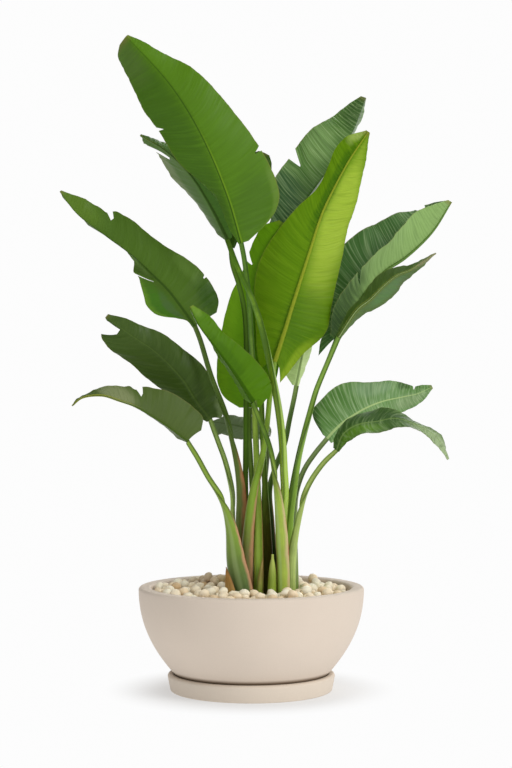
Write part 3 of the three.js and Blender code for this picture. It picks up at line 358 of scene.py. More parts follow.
# %% Leaves on the left
LEAVES += [
  {
    "name": "left_long", "face": 1, "petiole": 14, "sheath": [26, 16, 0.62, 40],
    "sheath_start": 0.25, "wave": [4, 3],
    "stalk": [[-30, -6, 168], [-25, -8, 300], [-22, -8, 380], [-27, -6, 438], [-45, -2, 522],
      [-57, 2, 562], [-80, 5, 624], [-102, 8, 698], [-113, 10, 726]],
    "rib": [[-139, 16, 762], [-166, 22, 797], [-199, 28, 830], [-235, 34, 864], [-297, 42, 911],
      [-353, 44, 954], [-388, 40, 999]],
    "left": {
      "reach": [[0, 6], [0.05, 7], [0.1, 26], [0.15, 47], [0.2, 58], [0.27, 58], [0.33, 42],
        [0.4, 24], [0.45, 26], [0.6, 40], [0.8, 30], [1, 5]],
      "lean": [[0, 20], [0.3, 25], [0.36, 80], [1, 88]], "curl": 5, "lead": 0.14, "tears": [[0.3, 0.7, 0.02]],
    },
    "right": {
      "reach": [[0, 56], [0.05, 76], [0.12, 83], [0.2, 81], [0.3, 75], [0.4, 68], [0.5, 62],
        [0.6, 61], [0.66, 59], [0.715, 56], [0.735, 45], [0.78, 46], [0.82, 42], [0.9, 31], [1, 5]],
      "lean": [[0, 18], [1, 15]], "curl": 5, "lead": 0.11, "tears": [[0.14, 0.1, 0.012],
        [0.628, 0.25, 0.018]],
    },
  },
  {
    "name": "left_mid", "face": 1, "petiole": 13, "sheath": [24, 15, 0.5, 20], "wave": [4, 3],
    "stalk": [[-44, 20, 168], [-38, 19, 340], [-38, 19, 382], [-45, 20, 420], [-55, 22, 460],
      [-67, 26, 494], [-83, 30, 538]],
    "rib": [[-113, 26, 578], [-135, 20, 614], [-166, 8, 650], [-199, -8, 680], [-229, -22, 700],
      [-259, -38, 722], [-285, -54, 744]],
    "left": {
      "reach": [[0, 8], [0.1, 22], [0.2, 36], [0.3, 46], [0.5, 52], [0.7, 52], [0.8, 50], [0.88, 45],
        [0.925, 40], [0.95, 26], [0.965, 10], [1, 4]],
      "lean": [[0, 10], [1, 10]], "curl": 8, "lead": 0.23, "tears": [[0.84, 0.65, 0.04]],
    },
    "right": {
      "reach": [[-0.04, 20], [0, 38], [0.06, 46], [0.2, 50], [0.35, 51], [0.5, 44], [0.7, 34], [0.8, 28],
        [0.9, 19], [1, 5]],
      "lean": [[0, 12], [1, 10]], "curl": 8, "tears": [],
    },
  },
  {
    "name": "left_low", "face": 1, "petiole": 14, "sheath": [50, 20, 0.72, 55], "wave": [3, 2.5],
    "stalk": [[-14, -54, 168], [-22, -54, 202], [-33, -54, 258], [-42, -55, 326], [-57, -57, 378],
      [-87, -62, 430], [-106, -66, 466], [-125, -70, 497]],
    "rib": [[-163, -82, 526], [-196, -94, 548], [-225, -104, 565], [-256, -114, 577], [-287, -124, 587],
      [-325, -134, 583], [-344, -138, 568]],
    "left": {
      "reach": [[0, 10], [0.15, 40], [0.4, 52], [0.7, 38], [0.9, 20], [1, 4]],
      "lean": [[0, 70], [0.4, 85], [1, 88]], "curl": 5, "tears": [],
    },
    "right": {
      "reach": [[-0.04, 36], [0, 59], [0.1, 65], [0.3, 64], [0.4, 57], [0.48, 50], [0.515, 38],
        [0.56, 42], [0.6, 38], [0.7, 31], [0.8, 24], [0.9, 16], [1, 3]],
      "lean": [[0, 15], [0.4, 25], [0.7, 50], [1, 68]], "curl": 5, "tears": [[0.43, 0.3, 0.03]],
    },
  },
]
print("leaves:", len(LEAVES))

# %% [markdown]
# Two low leaves reach out to the right, and the front one droops. Of the last three only small
# parts are seen between the others, so they are plain.

# %% Low leaves on the right, and leaves behind
LEAVES += [
  {
    "name": "right_low_back", "face": 1, "petiole": 12, "sheath": [22, 15, 0.5, 190], "wave": [3, 3],
    "stalk": [[88, 28, 168], [88, 30, 300], [91, 33, 382], [99, 36, 416], [110, 40, 442],
      [129, 44, 470], [153, 50, 499]],
    "rib": [[168, 56, 515], [183, 62, 529], [223, 78, 555], [265, 94, 573], [315, 110, 584],
      [343, 116, 590], [374, 120, 604]],
    "left": {
      "reach": [[0, 12], [0.05, 46], [0.1, 63], [0.2, 68], [0.3, 71], [0.4, 67], [0.5, 56], [0.6, 45],
        [0.7, 38], [0.8, 29], [0.9, 18], [1, 5]],
      "lean": [[0, 8], [1, 20]], "curl": 8, "tears": [[0.84, 0.5, 0.02]],
    },
    "right": {
      "reach": [[0, 14], [0.1, 24], [0.2, 30], [0.4, 36], [0.6, 40], [0.7, 39], [0.8, 32], [0.9, 17], [1, 4]],
      "lean": [[0, 20], [1, 20]], "curl": 5, "tears": [],
    },
  },
  {
    "name": "right_low_front", "face": 1, "petiole": 15, "sheath": [26, 16, 0.5, 130], "wave": [3, 2.5],
    "stalk": [[78, -24, 168], [79, -25, 202], [82, -27, 258], [87, -29, 298], [93, -31, 332],
      [104, -35, 382], [118, -40, 418], [142, -46, 454], [168, -52, 480]],
    "rib": [[181, -58, 511], [206, -66, 529], [247, -78, 537], [284, -88, 543], [330, -98, 526],
      [363, -104, 503], [383, -106, 464]],
    "left": {
      "reach": [[0, 14], [0.1, 24], [0.2, 40], [0.4, 48], [0.5, 32], [0.6, 22], [0.8, 20],
        [0.95, 15], [1, 5]],
      "lean": [[0, 55], [0.5, 60], [1, 65]], "curl": 5, "tears": [],
    },
    "right": {
      "reach": [[0, 8], [0.06, 13], [0.12, 24], [0.2, 36], [0.3, 42], [0.45, 36], [0.6, 25],
        [0.8, 16], [1, 4]],
      "lean": [[0, -50], [0.5, -55], [1, -40]], "curl": -5, "tears": [],
    },
  },
  {
    "name": "low_back", "face": 1, "petiole": 12, "sheath": [22, 15, 0.5, 270], "wave": [3, 2],
    "stalk": [[24, 66, 168], [26, 72, 300], [28, 84, 400], [34, 94, 468], [33, 104, 498]],
    "rib": [[8, 126, 512], [-38, 165, 524], [-84, 206, 530]],
    "left": {
      "reach": [[0, 12], [0.15, 36], [0.45, 42], [0.8, 28], [1, 4]],
      "lean": [[0, -50], [1, -45]], "curl": -5, "tears": [],
    },
    "right": {
      "reach": [[0, 12], [0.15, 36], [0.45, 42], [0.8, 28], [1, 4]],
      "lean": [[0, 50], [1, 45]], "curl": 5, "tears": [],
    },
  },
  {
    "name": "back_right", "face": 1, "petiole": 12, "sheath": [25, 16, 0.6, 250], "wave": [3, 2],
    "stalk": [[46, 50, 168], [40, 54, 330], [38, 56, 398], [54, 62, 452], [68, 66, 488],
      [78, 70, 538], [88, 74, 585], [92, 77, 606]],
    "rib": [[101, 86, 650], [107, 92, 680], [111, 102, 725], [110, 115, 785], [102, 130, 863]],
    "left": {
      "reach": [[0, 9], [0.06, 24], [0.15, 40], [0.4, 46], [0.8, 30], [1, 4]],
      "lean": [[0, 8], [1, 25]], "curl": 5, "tears": [],
    },
    "right": {
      "reach": [[0, 10], [0.2, 34], [0.5, 40], [0.8, 28], [1, 4]],
      "lean": [[0, 60], [1, 70]], "curl": 5, "tears": [],
    },
  },
  {
    "name": "hidden_back", "face": 1, "petiole": 12, "sheath": [22, 15, 0.35, 290], "wave": [3, 2],
    "stalk": [[-14, 36, 168], [-14, 32, 300], [-12, 22, 518], [-11, 14, 712], [-16, 12, 768],
      [-26, 18, 812], [-38, 32, 850], [-42, 46, 886]],
    "rib": [[-24, 60, 960], [4, 70, 1030], [27, 74, 1082]],
    "left": {
      "reach": [[0, 8], [0.1, 13], [0.3, 36], [0.5, 48], [0.8, 38], [0.95, 26], [1, 14]],
      "lean": [[0, 10], [1, 20]], "curl": 5, "tears": [],
    },
    "right": {
      "reach": [[0, 8], [0.1, 14], [0.3, 34], [0.5, 40], [0.8, 32], [0.95, 22], [1, 12]],
      "lean": [[0, 10], [1, 20]], "curl": 5, "tears": [],
    },
  },
]
print("leaves:", len(LEAVES))

# %% [markdown]
# A stalk is drawn by five to nine points, so something has to run smoothly through them. A
# Catmull-Rom curve does, and spacing it by the square root of the distances keeps it from
# looping where points lie close. The curve is measured once, so that a share of its length can
# be turned into a place and a direction.

# %% A smooth route through points
def unit(vectors):
    return vectors / np.linalg.norm(vectors, axis=-1, keepdims=True)


class Route:
    """A smooth curve through points, measured along its length."""

    STEPS = 240
    LOOK_AHEAD = 0.004

    def __init__(self, points):
        points = np.array(points, dtype=float)
        first = 2 * points[0] - points[1]
        last = 2 * points[-1] - points[-2]
        padded = np.vstack([first, points, last])
        pieces = []
        for i in range(len(points) - 1):
            a, b, c, d = padded[i:i + 4]
            gaps = [np.linalg.norm(q - p) ** 0.5 for p, q in ((a, b), (b, c), (c, d))]
            start = (b - a) / gaps[0] - (c - a) / (gaps[0] + gaps[1]) + (c - b) / gaps[1]
            end = (c - b) / gaps[1] - (d - b) / (gaps[1] + gaps[2]) + (d - c) / gaps[2]
            start, end = start * gaps[1], end * gaps[1]
            t = np.linspace(0, 1, self.STEPS, endpoint=False)[:, None]
            cubic = 2 * b - 2 * c + start + end
            square = -3 * b + 3 * c - 2 * start - end
            pieces.append(b + start * t + square * t ** 2 + cubic * t ** 3)
        self.line = np.vstack(pieces + [points[-1:]])
        steps = np.linalg.norm(np.diff(self.line, axis=0), axis=1)
        self.measure = np.concatenate([[0], np.cumsum(steps)])
        self.length = self.measure[-1]

    def at(self, share):
        reached = np.clip(share, 0, 1) * self.length
        return np.stack([np.interp(reached, self.measure, self.line[:, i]) for i in range(3)], axis=-1)

    def along(self, share):
        ahead = np.clip(share + self.LOOK_AHEAD, 0, 1)
        behind = np.clip(share - self.LOOK_AHEAD, 0, 1)
        return unit(self.at(ahead) - self.at(behind))


def midrib_of(leaf):
    return Route([leaf["stalk"][-1]] + leaf["rib"])


print("longest midrib:", round(max(midrib_of(leaf).length for leaf in LEAVES)), "mm")

# %% [markdown]
# ## One blade
# A blade could be cut from a flat sheet and bent, but its side veins run out from the midrib and
# on towards the tip, and a tear follows them. So the mesh follows the veins too: a grid primitive
# gives the faces and the map, each row of it is laid along one side vein, and each column keeps
# its share of the way from the midrib to the margin. A tear is two rows pushed apart.

# %% Rows and columns of a blade
BLADE_ROWS = 130
HALF_COLUMNS = 13
VEIN_LEAD = 0.07
TEAR_START = 0.003


def rows_of(leaf):
    """Shares of the midrib where side veins lie, and on which side of a tear each one is."""
    even = (1 - np.cos(np.linspace(0, np.pi, BLADE_ROWS + 1))) / 2
    tears = leaf["left"]["tears"] + leaf["right"]["tears"]
    rows = [(share, 0) for share in even if all(abs(share - tear[0]) > TEAR_START for tear in tears)]
    rows += [(tear[0], edge) for tear in tears for edge in (-1, 1)]
    return np.array(sorted(rows))


def vein_places(half, rows, part):
    """Share of the midrib that each vein has reached at each part of the way to the margin."""
    share, edge = rows[:, :1], rows[:, 1:]
    lobe = min(0, half["reach"][0][0])
    lead = half.get("lead", VEIN_LEAD)
    landing = share + lobe * (1 - share) ** 6 + lead * np.sin(np.pi * share)
    places = share + (landing - share) * part ** 1.5
    for at, depth, gap in half["tears"]:
        torn = np.maximum(0, (part - 1 + depth) / depth)
        offset = share - at
        side = np.where(offset == 0, edge, np.sign(offset))
        opening = TEAR_START + (gap - TEAR_START) * torn
        places = places + side * opening / 2 * np.exp(-(offset / (1.2 * gap)) ** 2)
    return places


print("rows of the first leaf:", len(rows_of(LEAVES[0])))

# %% [markdown]
# How far a margin stands from the midrib, and how a half leans, is given at a few stations along
# the blade. Straight lines between them would leave corners, so a cubic joins each pair, with
# slopes that follow from the stations beside it.

# %% A smooth line through stations
def between(stations, share):
    """Value at a share on a smooth line through stations of share and value."""
    x, y = np.array(stations, dtype=float).T
    index = np.arange(len(x))
    before, after = np.maximum(index - 1, 0), np.minimum(index + 1, len(x) - 1)
    slope = (y[after] - y[before]) / (x[after] - x[before])
    share = np.clip(share, x[0], x[-1])
    i = np.clip(np.searchsorted(x, share) - 1, 0, len(x) - 2)
    span = x[i + 1] - x[i]
    t = (share - x[i]) / span
    rise = (1 - t) ** 2 * t * span * slope[i]
    fall = (t - 1) * t ** 2 * span * slope[i + 1]
    return y[i] + (y[i + 1] - y[i]) * t * t * (3 - 2 * t) + rise + fall


def smoothstep(value, low, high):
    t = np.clip((value - low) / (high - low), 0, 1)
    return t * t * (3 - 2 * t)


middle = between(LEAVES[0]["left"]["reach"], 0.5)
print("the first blade's left half is", round(float(middle)), "mm wide at its middle")

# %% [markdown]
# Blades of this plant aren't flat between their side veins: they are softly pleated, and the
# margins sway. Both are laid out here as a height over the smooth surface that grows towards the
# margin, from a few sine waves with seeded phases, so that no two leaves match.

# %% Pleats
# Wavelength and rise in millimetres, and how steeply the rise grows towards the margin
PLEATS = ((120, 1.2, 2.0), (46, 0.4, 1.6), (24, 0.45, 1.0), (13, 0.3, 0.5))


def pleats(leaf, length, share, part, side):
    """Height of pleats and sways over the smooth blade, in millimetres."""
    draw = np.random.default_rng(LEAVES.index(leaf) * 2 + (side > 0))
    along = share * length
    height = leaf["wave"][0] * part ** 2 * np.sin(2 * np.pi * leaf["wave"][1] * share + side)
    for wavelength, rise, power in PLEATS:
        wavelength = wavelength * draw.uniform(0.85, 1.15)
        phase = draw.uniform(0, 2 * np.pi) + draw.uniform(0.5, 1.5) * part
        height = height + rise * part ** power * np.sin(2 * np.pi * along / wavelength + phase)
    return height * smoothstep(share, 0.0, 0.06) * (1 - smoothstep(share, 0.9, 1.0))


print("wavelengths of the pleats:", [wavelength for wavelength, _, _ in PLEATS], "mm")

# %% [markdown]
# A half blade starts at the edge of the midrib and goes outwards vein by vein. It leans away from
# the picture's plane and curls further towards the margin, in a few short steps. Between the two
# halves the midrib has a shallow channel on the upper face.

# %% The surface of a blade
# The way that leads from the viewer into the picture
AWAY = np.array([0.0, 1.0, 0.0])
STALK_GAP = 0.3
RIB_COLUMNS = (0.3, 0.68)
RIB_WIDTHS = (11.4, 2.4)
RIB_TAPER = 0.4
RIB_DEPTHS = (8.0, 2.0)
CHANNEL_SINK = 0.16
CURL_STEPS = 8


def rib_depth(share):
    """Thickness of the midrib at a share of its length, in millimetres."""
    return RIB_DEPTHS[0] + (RIB_DEPTHS[1] - RIB_DEPTHS[0]) * share


def half_blade(leaf, rib, rows, side, part):
    """Points of one half, from the midrib's edge to the margin, in millimetres."""
    half = leaf["left"] if side < 0 else leaf["right"]
    places = vein_places(half, rows, part)
    inside = np.clip(places, 0, 1)
    along = rib.along(inside)
    points = rib.at(inside) + along * ((places - inside) * rib.length)[..., None]
    right = unit(np.cross(AWAY, along))
    away = np.cross(along, right)
    points += away * (-leaf["face"] * rib_depth(inside) / 2)[..., None]
    points += rib.along(0.0) * (STALK_GAP / 2 * (1 - inside))[..., None]
    rib_half = (RIB_WIDTHS[0] + (RIB_WIDTHS[1] - RIB_WIDTHS[0]) * inside ** RIB_TAPER) / 2
    margin = vein_places(half, rows, np.ones((1, 1)))
    reach = np.maximum(0.5, between(half["reach"], margin) - rib_half)
    lean = between(half["lean"], rows[:, :1])

    def outward(degrees):
        angle = np.radians(degrees)[..., None]
        return right * side * np.cos(angle) + away * np.sin(angle)

    points += outward(lean) * rib_half[..., None]
    for step in range(CURL_STEPS):
        angle = lean + 2 * half["curl"] * part * (step + 0.5) / CURL_STEPS
        points += outward(angle) * (reach * part / CURL_STEPS)[..., None]
    angle = np.radians(angle)[..., None]
    facing = right * -side * np.sin(angle) + away * np.cos(angle)
    height = pleats(leaf, rib.length, rows[:, :1], part, side)
    return points + facing * height[..., None]


def rib_channel(leaf, rib, rows, side):
    """Points from the middle of the midrib to its edge: a shallow channel on the upper face."""
    half = leaf["left"] if side < 0 else leaf["right"]
    edge = half_blade(leaf, rib, rows, side, np.zeros((1, 1)))[:, 0]
    share = rows[:, 0]
    along = rib.along(share)
    right = unit(np.cross(AWAY, along))
    away = np.cross(along, right)
    depth = rib_depth(share)
    middle = rib.at(share) + away * (-leaf["face"] * depth / 2)[:, None]
    middle += rib.along(0.0) * (STALK_GAP / 2 * (1 - share))[:, None]
    sink = away * (leaf["face"] * CHANNEL_SINK * depth)[:, None]
    return [middle + sink] + [middle + (edge - middle) * f + sink * (1 - f * f) for f in RIB_COLUMNS]


print("part of the way at each column:", np.round(np.linspace(0, 1, HALF_COLUMNS + 1), 2)[:4], "...")

# %% [markdown]
# The sheet gets its thickness from a Solidify modifier. A vertex group sets how much of it each
# point gets, so that the same modifier makes a thin blade and a thick rounded keel under the
# midrib, as one closed skin. The faces that it adds take the second finish, the underside's.

# %% The sheet of a blade, and its thickness
BLADE_THICKNESS = 0.7
KEEL_SHARE = 0.84
# Share of the map's half width that the midrib takes
RIB_SHARE = 0.05


def blade_sheet(leaf):
    rib = midrib_of(leaf)
    rows = rows_of(leaf)
    part = np.linspace(0, 1, HALF_COLUMNS + 1)[None, :]
    left = half_blade(leaf, rib, rows, -1, part)
    right = half_blade(leaf, rib, rows, 1, part)
    left_rib = rib_channel(leaf, rib, rows, -1)
    right_rib = rib_channel(leaf, rib, rows, 1)
    middle = [left_rib[2], left_rib[1], left_rib[0], right_rib[1], right_rib[2]]
    columns = [left[:, c] for c in range(HALF_COLUMNS, -1, -1)] + middle
    columns += [right[:, c] for c in range(HALF_COLUMNS + 1)]
    right_half = [RIB_SHARE * f for f in RIB_COLUMNS] + (RIB_SHARE + part[0] * (1 - RIB_SHARE)).tolist()
    left_half = [-share for share in reversed(right_half)]
    across = 0.5 + np.array(left_half + [0] + right_half) / 2
    profile = np.zeros(len(columns))
    centre = HALF_COLUMNS + 3
    for offset, f in zip((0, 1, 2), (0.0, *RIB_COLUMNS)):
        profile[[centre - offset, centre + offset]] = math.sqrt(1 - f * f) * KEEL_SHARE
    thickness = np.maximum(BLADE_THICKNESS, rib_depth(rows[:, :1]) * profile[None, :])
    surface = np.stack(columns, axis=1) * MM
    from_rib = np.linalg.norm(surface - surface[:, centre:centre + 1], axis=2)
    return rib, rows, surface, across, thickness * MM, from_rib


print("points along and across the first sheet:", blade_sheet(LEAVES[0])[2].shape[:2])

# %% [markdown]
# A grid primitive brings its faces and a map, so its corners only have to be moved to their
# places and the map stretched to real lengths. What only the shape knows, such as how far a point
# is from the midrib, is kept as an attribute that the finish can read.

# %% A grid laid on points
def keep_value(mesh, name, values):
    kept = mesh.attributes.new(name, "FLOAT", "POINT")
    kept.data.foreach_set("value", values.astype(np.float32))


def grid_piece(name, points, across, along):
    """A grid primitive with its corners laid on points, and its map rewritten."""
    tall, wide = points.shape[:2]
    bpy.ops.object.select_all(action="DESELECT")
    bpy.ops.mesh.primitive_grid_add(x_subdivisions=wide - 1, y_subdivisions=tall - 1, size=1)
    obj = bpy.context.object
    obj.name = obj.data.name = name
    mesh = obj.data
    flat = np.zeros(len(mesh.vertices) * 3)
    mesh.vertices.foreach_get("co", flat)
    flat = flat.reshape(-1, 3)
    column = np.rint((flat[:, 0] + 0.5) * (wide - 1)).astype(int)
    row = np.rint((flat[:, 1] + 0.5) * (tall - 1)).astype(int)
    mesh.vertices.foreach_set("co", points[row, column].ravel())
    corner = np.zeros(len(mesh.loops), dtype=int)
    mesh.loops.foreach_get("vertex_index", corner)
    uv = np.stack([across[column[corner]], along[row[corner]]], axis=1)
    mesh.uv_layers[0].data.foreach_set("uv", uv.ravel())
    mesh.update()
    return obj, row, column


print("grid helper ready")

# %% [markdown]
# The two rows beside a tear already stand apart. The faces between them are deleted, from the
# tear's inner end to the margin, before the sheet gets its thickness.

# %% Opening the tears
def tear_open(obj, leaf, rows, row, column):
    """Delete the faces between the two rows of each tear, from its inner end to the margin."""
    mesh = obj.data
    corner = np.zeros(len(mesh.loops), dtype=int)
    mesh.loops.foreach_get("vertex_index", corner)
    face_row = row[corner].reshape(-1, 4).min(axis=1)
    face_column = column[corner].reshape(-1, 4).min(axis=1)
    flags = np.zeros(len(mesh.polygons), dtype=bool)
    for half, side in ((leaf["left"], -1), (leaf["right"], 1)):
        for at, depth, _ in half["tears"]:
            lower = int(np.flatnonzero((rows[:, 0] == at) & (rows[:, 1] == -1))[0])
            count = max(1, round(depth * HALF_COLUMNS))
            from_margin = face_column if side < 0 else column.max() - 1 - face_column
            flags |= (face_row == lower) & (from_margin < count)
    if not flags.any():
        return
    only(obj)
    bpy.ops.object.mode_set(mode="EDIT")
    bpy.ops.mesh.select_all(action="DESELECT")
    bpy.ops.object.mode_set(mode="OBJECT")
    mesh.polygons.foreach_set("select", flags)
    bpy.ops.object.mode_set(mode="EDIT")
    bpy.context.tool_settings.mesh_select_mode = (False, False, True)
    bpy.ops.mesh.delete(type="FACE")
    bpy.ops.object.mode_set(mode="OBJECT")


tears = [tear for leaf in LEAVES for half in ("left", "right") for tear in leaf[half]["tears"]]
print("tears:", len(tears))

# %% [markdown]
# Now the blades can be made. Two turn their underside to the viewer. Their faces are flipped,
# because Solidify adds the second skin, which is the underside's, behind the first.

# %% Making the blades
SMOOTH_BELOW = math.radians(50)


def make_blade(leaf):
    rib, rows, points, across, thickness, from_rib = blade_sheet(leaf)
    along = rows[:, 0] * rib.length * MM
    obj, row, column = grid_piece("leaf_" + leaf["name"], points, across, along)
    keel = obj.vertex_groups.new(name="thickness")
    thickest = RIB_DEPTHS[0] * MM
    for index, weight in enumerate(thickness[row, column] / thickest):
        keel.add([index], float(weight), "REPLACE")
    keep_value(obj.data, "from_rib", from_rib[row, column])
    tear_open(obj, leaf, rows, row, column)
    only(obj)
    if leaf["face"] < 0:
        bpy.ops.object.mode_set(mode="EDIT")
        bpy.ops.mesh.select_all(action="SELECT")
        bpy.ops.mesh.flip_normals()
        bpy.ops.object.mode_set(mode="OBJECT")
    return obj


def thicken(obj):
    only(obj)
    modifier = obj.modifiers.new("thickness", "SOLIDIFY")
    modifier.thickness = RIB_DEPTHS[0] * MM
    modifier.offset = -1
    modifier.vertex_group = "thickness"
    modifier.material_offset = 1
    bpy.ops.object.modifier_apply(modifier=modifier.name)
    obj.vertex_groups.clear()
    bpy.ops.object.shade_smooth_by_angle(angle=SMOOTH_BELOW)


blades = {leaf["name"]: make_blade(leaf) for leaf in LEAVES}
print("blades laid out:", len(blades))

# %% [markdown]
# ## The finish of a blade
# A leaf of this plant is satin: a deep green skin with fine side veins close together, a pale
# midrib, and a thin dry line round the margin. Light also comes through it. The veins follow the
# piece's own map, where one coordinate runs along a vein and the other along the midrib in
# metres, so their spacing is the same on every leaf. A translucent shader mixed in by a fixed
# share lets light through.

# %% The finish of one face of a leaf
# Radians per metre, which puts a fine vein on every 7 mm of the midrib
VEIN_WAVE = 880
# Where the dry margin starts and is full, as a share of the half width, and the dry tip
DRY_MARGIN = (0.975, 0.995)
DRY_TIP = (0.965, 1.0)
DRY = tint(150, 132, 72)


def shades_of(colour, spread=0.3):
    """The colour, and a paler and a darker one beside it."""
    base = np.array(colour[:3])
    shades = (base, base * (1 + spread) + 0.01, base * (1 - spread))
    return [(*np.clip(shade, 0, 1).tolist(), 1.0) for shade in shades]


def leaf_finish(leaf, look, face):
    """The finish of the upper or the under face, from the leaf's own look."""
    finish = Finish("leaf_" + leaf["name"] + "_" + face)
    across, along = finish.across_and_along()
    side = across * 2 - 1
    share = along / (midrib_of(leaf).length * MM)
    seed = LEAVES.index(leaf) * 3.7
    fine = finish.noise(finish.vector(side * 1.5, along * 430, seed), 1.0, 2.0, 0.6)
    bands = finish.noise(finish.vector(side * 1.1, along * 170, seed + 9), 1.0, 1.0, 0.5)
    broad = finish.noise(finish.place(), 10.0, 2.0, 0.5)
    colour, pale, dark = shades_of(look[face], 0.25)
    pale = look.get(face + "_streak", look.get("streak", pale))
    base = colour
    # Soft spots of painted light, painted shade and painted backlit glow, some of them the leaf's own tone
    for place, tone, strength in look.get(face + "_tones_and_painted_light", []):
        u, v, wide, tall = place
        distance = (((side - u) / wide) ** 2 + ((share - v) / tall) ** 2).maths("SQRT")
        ragged = distance + (bands - 0.5) * 0.5
        base = finish.blend((1 - ragged.above(0.45, 1.15)) * strength, base, tone)
    # Paler and darker lines between the veins; on the glossy leaves the paler colour is a painted sheen
    # highlight
    stripes = look.get("stripes", 0.5)
    streak = (bands - 0.5) * 2.2 + (fine - 0.5) * 1.2
    base = finish.blend(streak.clamped() * stripes, base, pale)
    base = finish.blend((streak * -1.0).clamped() * stripes, base, look.get("furrow", dark))
    veins = ((along * VEIN_WAVE + bands * 4 + side * 2).maths("SINE") + (fine - 0.5)).above(0.55, 1.15)
    base = finish.blend(veins * look.get("veins", 0.15), base, pale)
    base = finish.blend((broad - 0.35).clamped() * 0.7, base, dark)
    rib_colour, rib_half, rib_strength = look[face + "_rib"]
    from_rib = finish.attribute("from_rib") * 1000
    width = rib_half * (1.15 - share)
    on_rib = 1 - (from_rib / width).above(0.7, 1.2)
    base = finish.blend(on_rib * rib_strength, base, rib_colour)
    beside, strength = look.get(face + "_beside", (rib_colour, 0.0))
    right_of = 1 - ((from_rib * side.maths("SIGN") - rib_half).maths("ABSOLUTE") / 1.6).above(0.6, 1.2)
    base = finish.blend(right_of * (1 - share.above(0.3, 0.6)) * strength, base, beside)
    dry = side.maths("ABSOLUTE").above(*DRY_MARGIN) * 0.3
    tip = share.above(*DRY_TIP) * broad.above(0.35, 0.6) * 0.6
    base = finish.blend((dry + tip).clamped(), base, DRY)
    normal = finish.bump(fine * 0.4 + bands, 0.0014, look.get("ridges", 0.5))
    roughness = (fine - 0.5) * 0.3 + (broad - 0.5) * 0.2 + on_rib * 0.25 + look.get("rough", 0.45)
    skin = finish.skin(base, roughness, normal, look.get("gloss", 0.22))
    through = finish.add("ShaderNodeBsdfTranslucent", values={"Color": look["through"]})
    both = finish.add("ShaderNodeMixShader", values={0: look["glow"], 1: skin, 2: through})
    return finish.surface(both)


print("leaf finish ready")
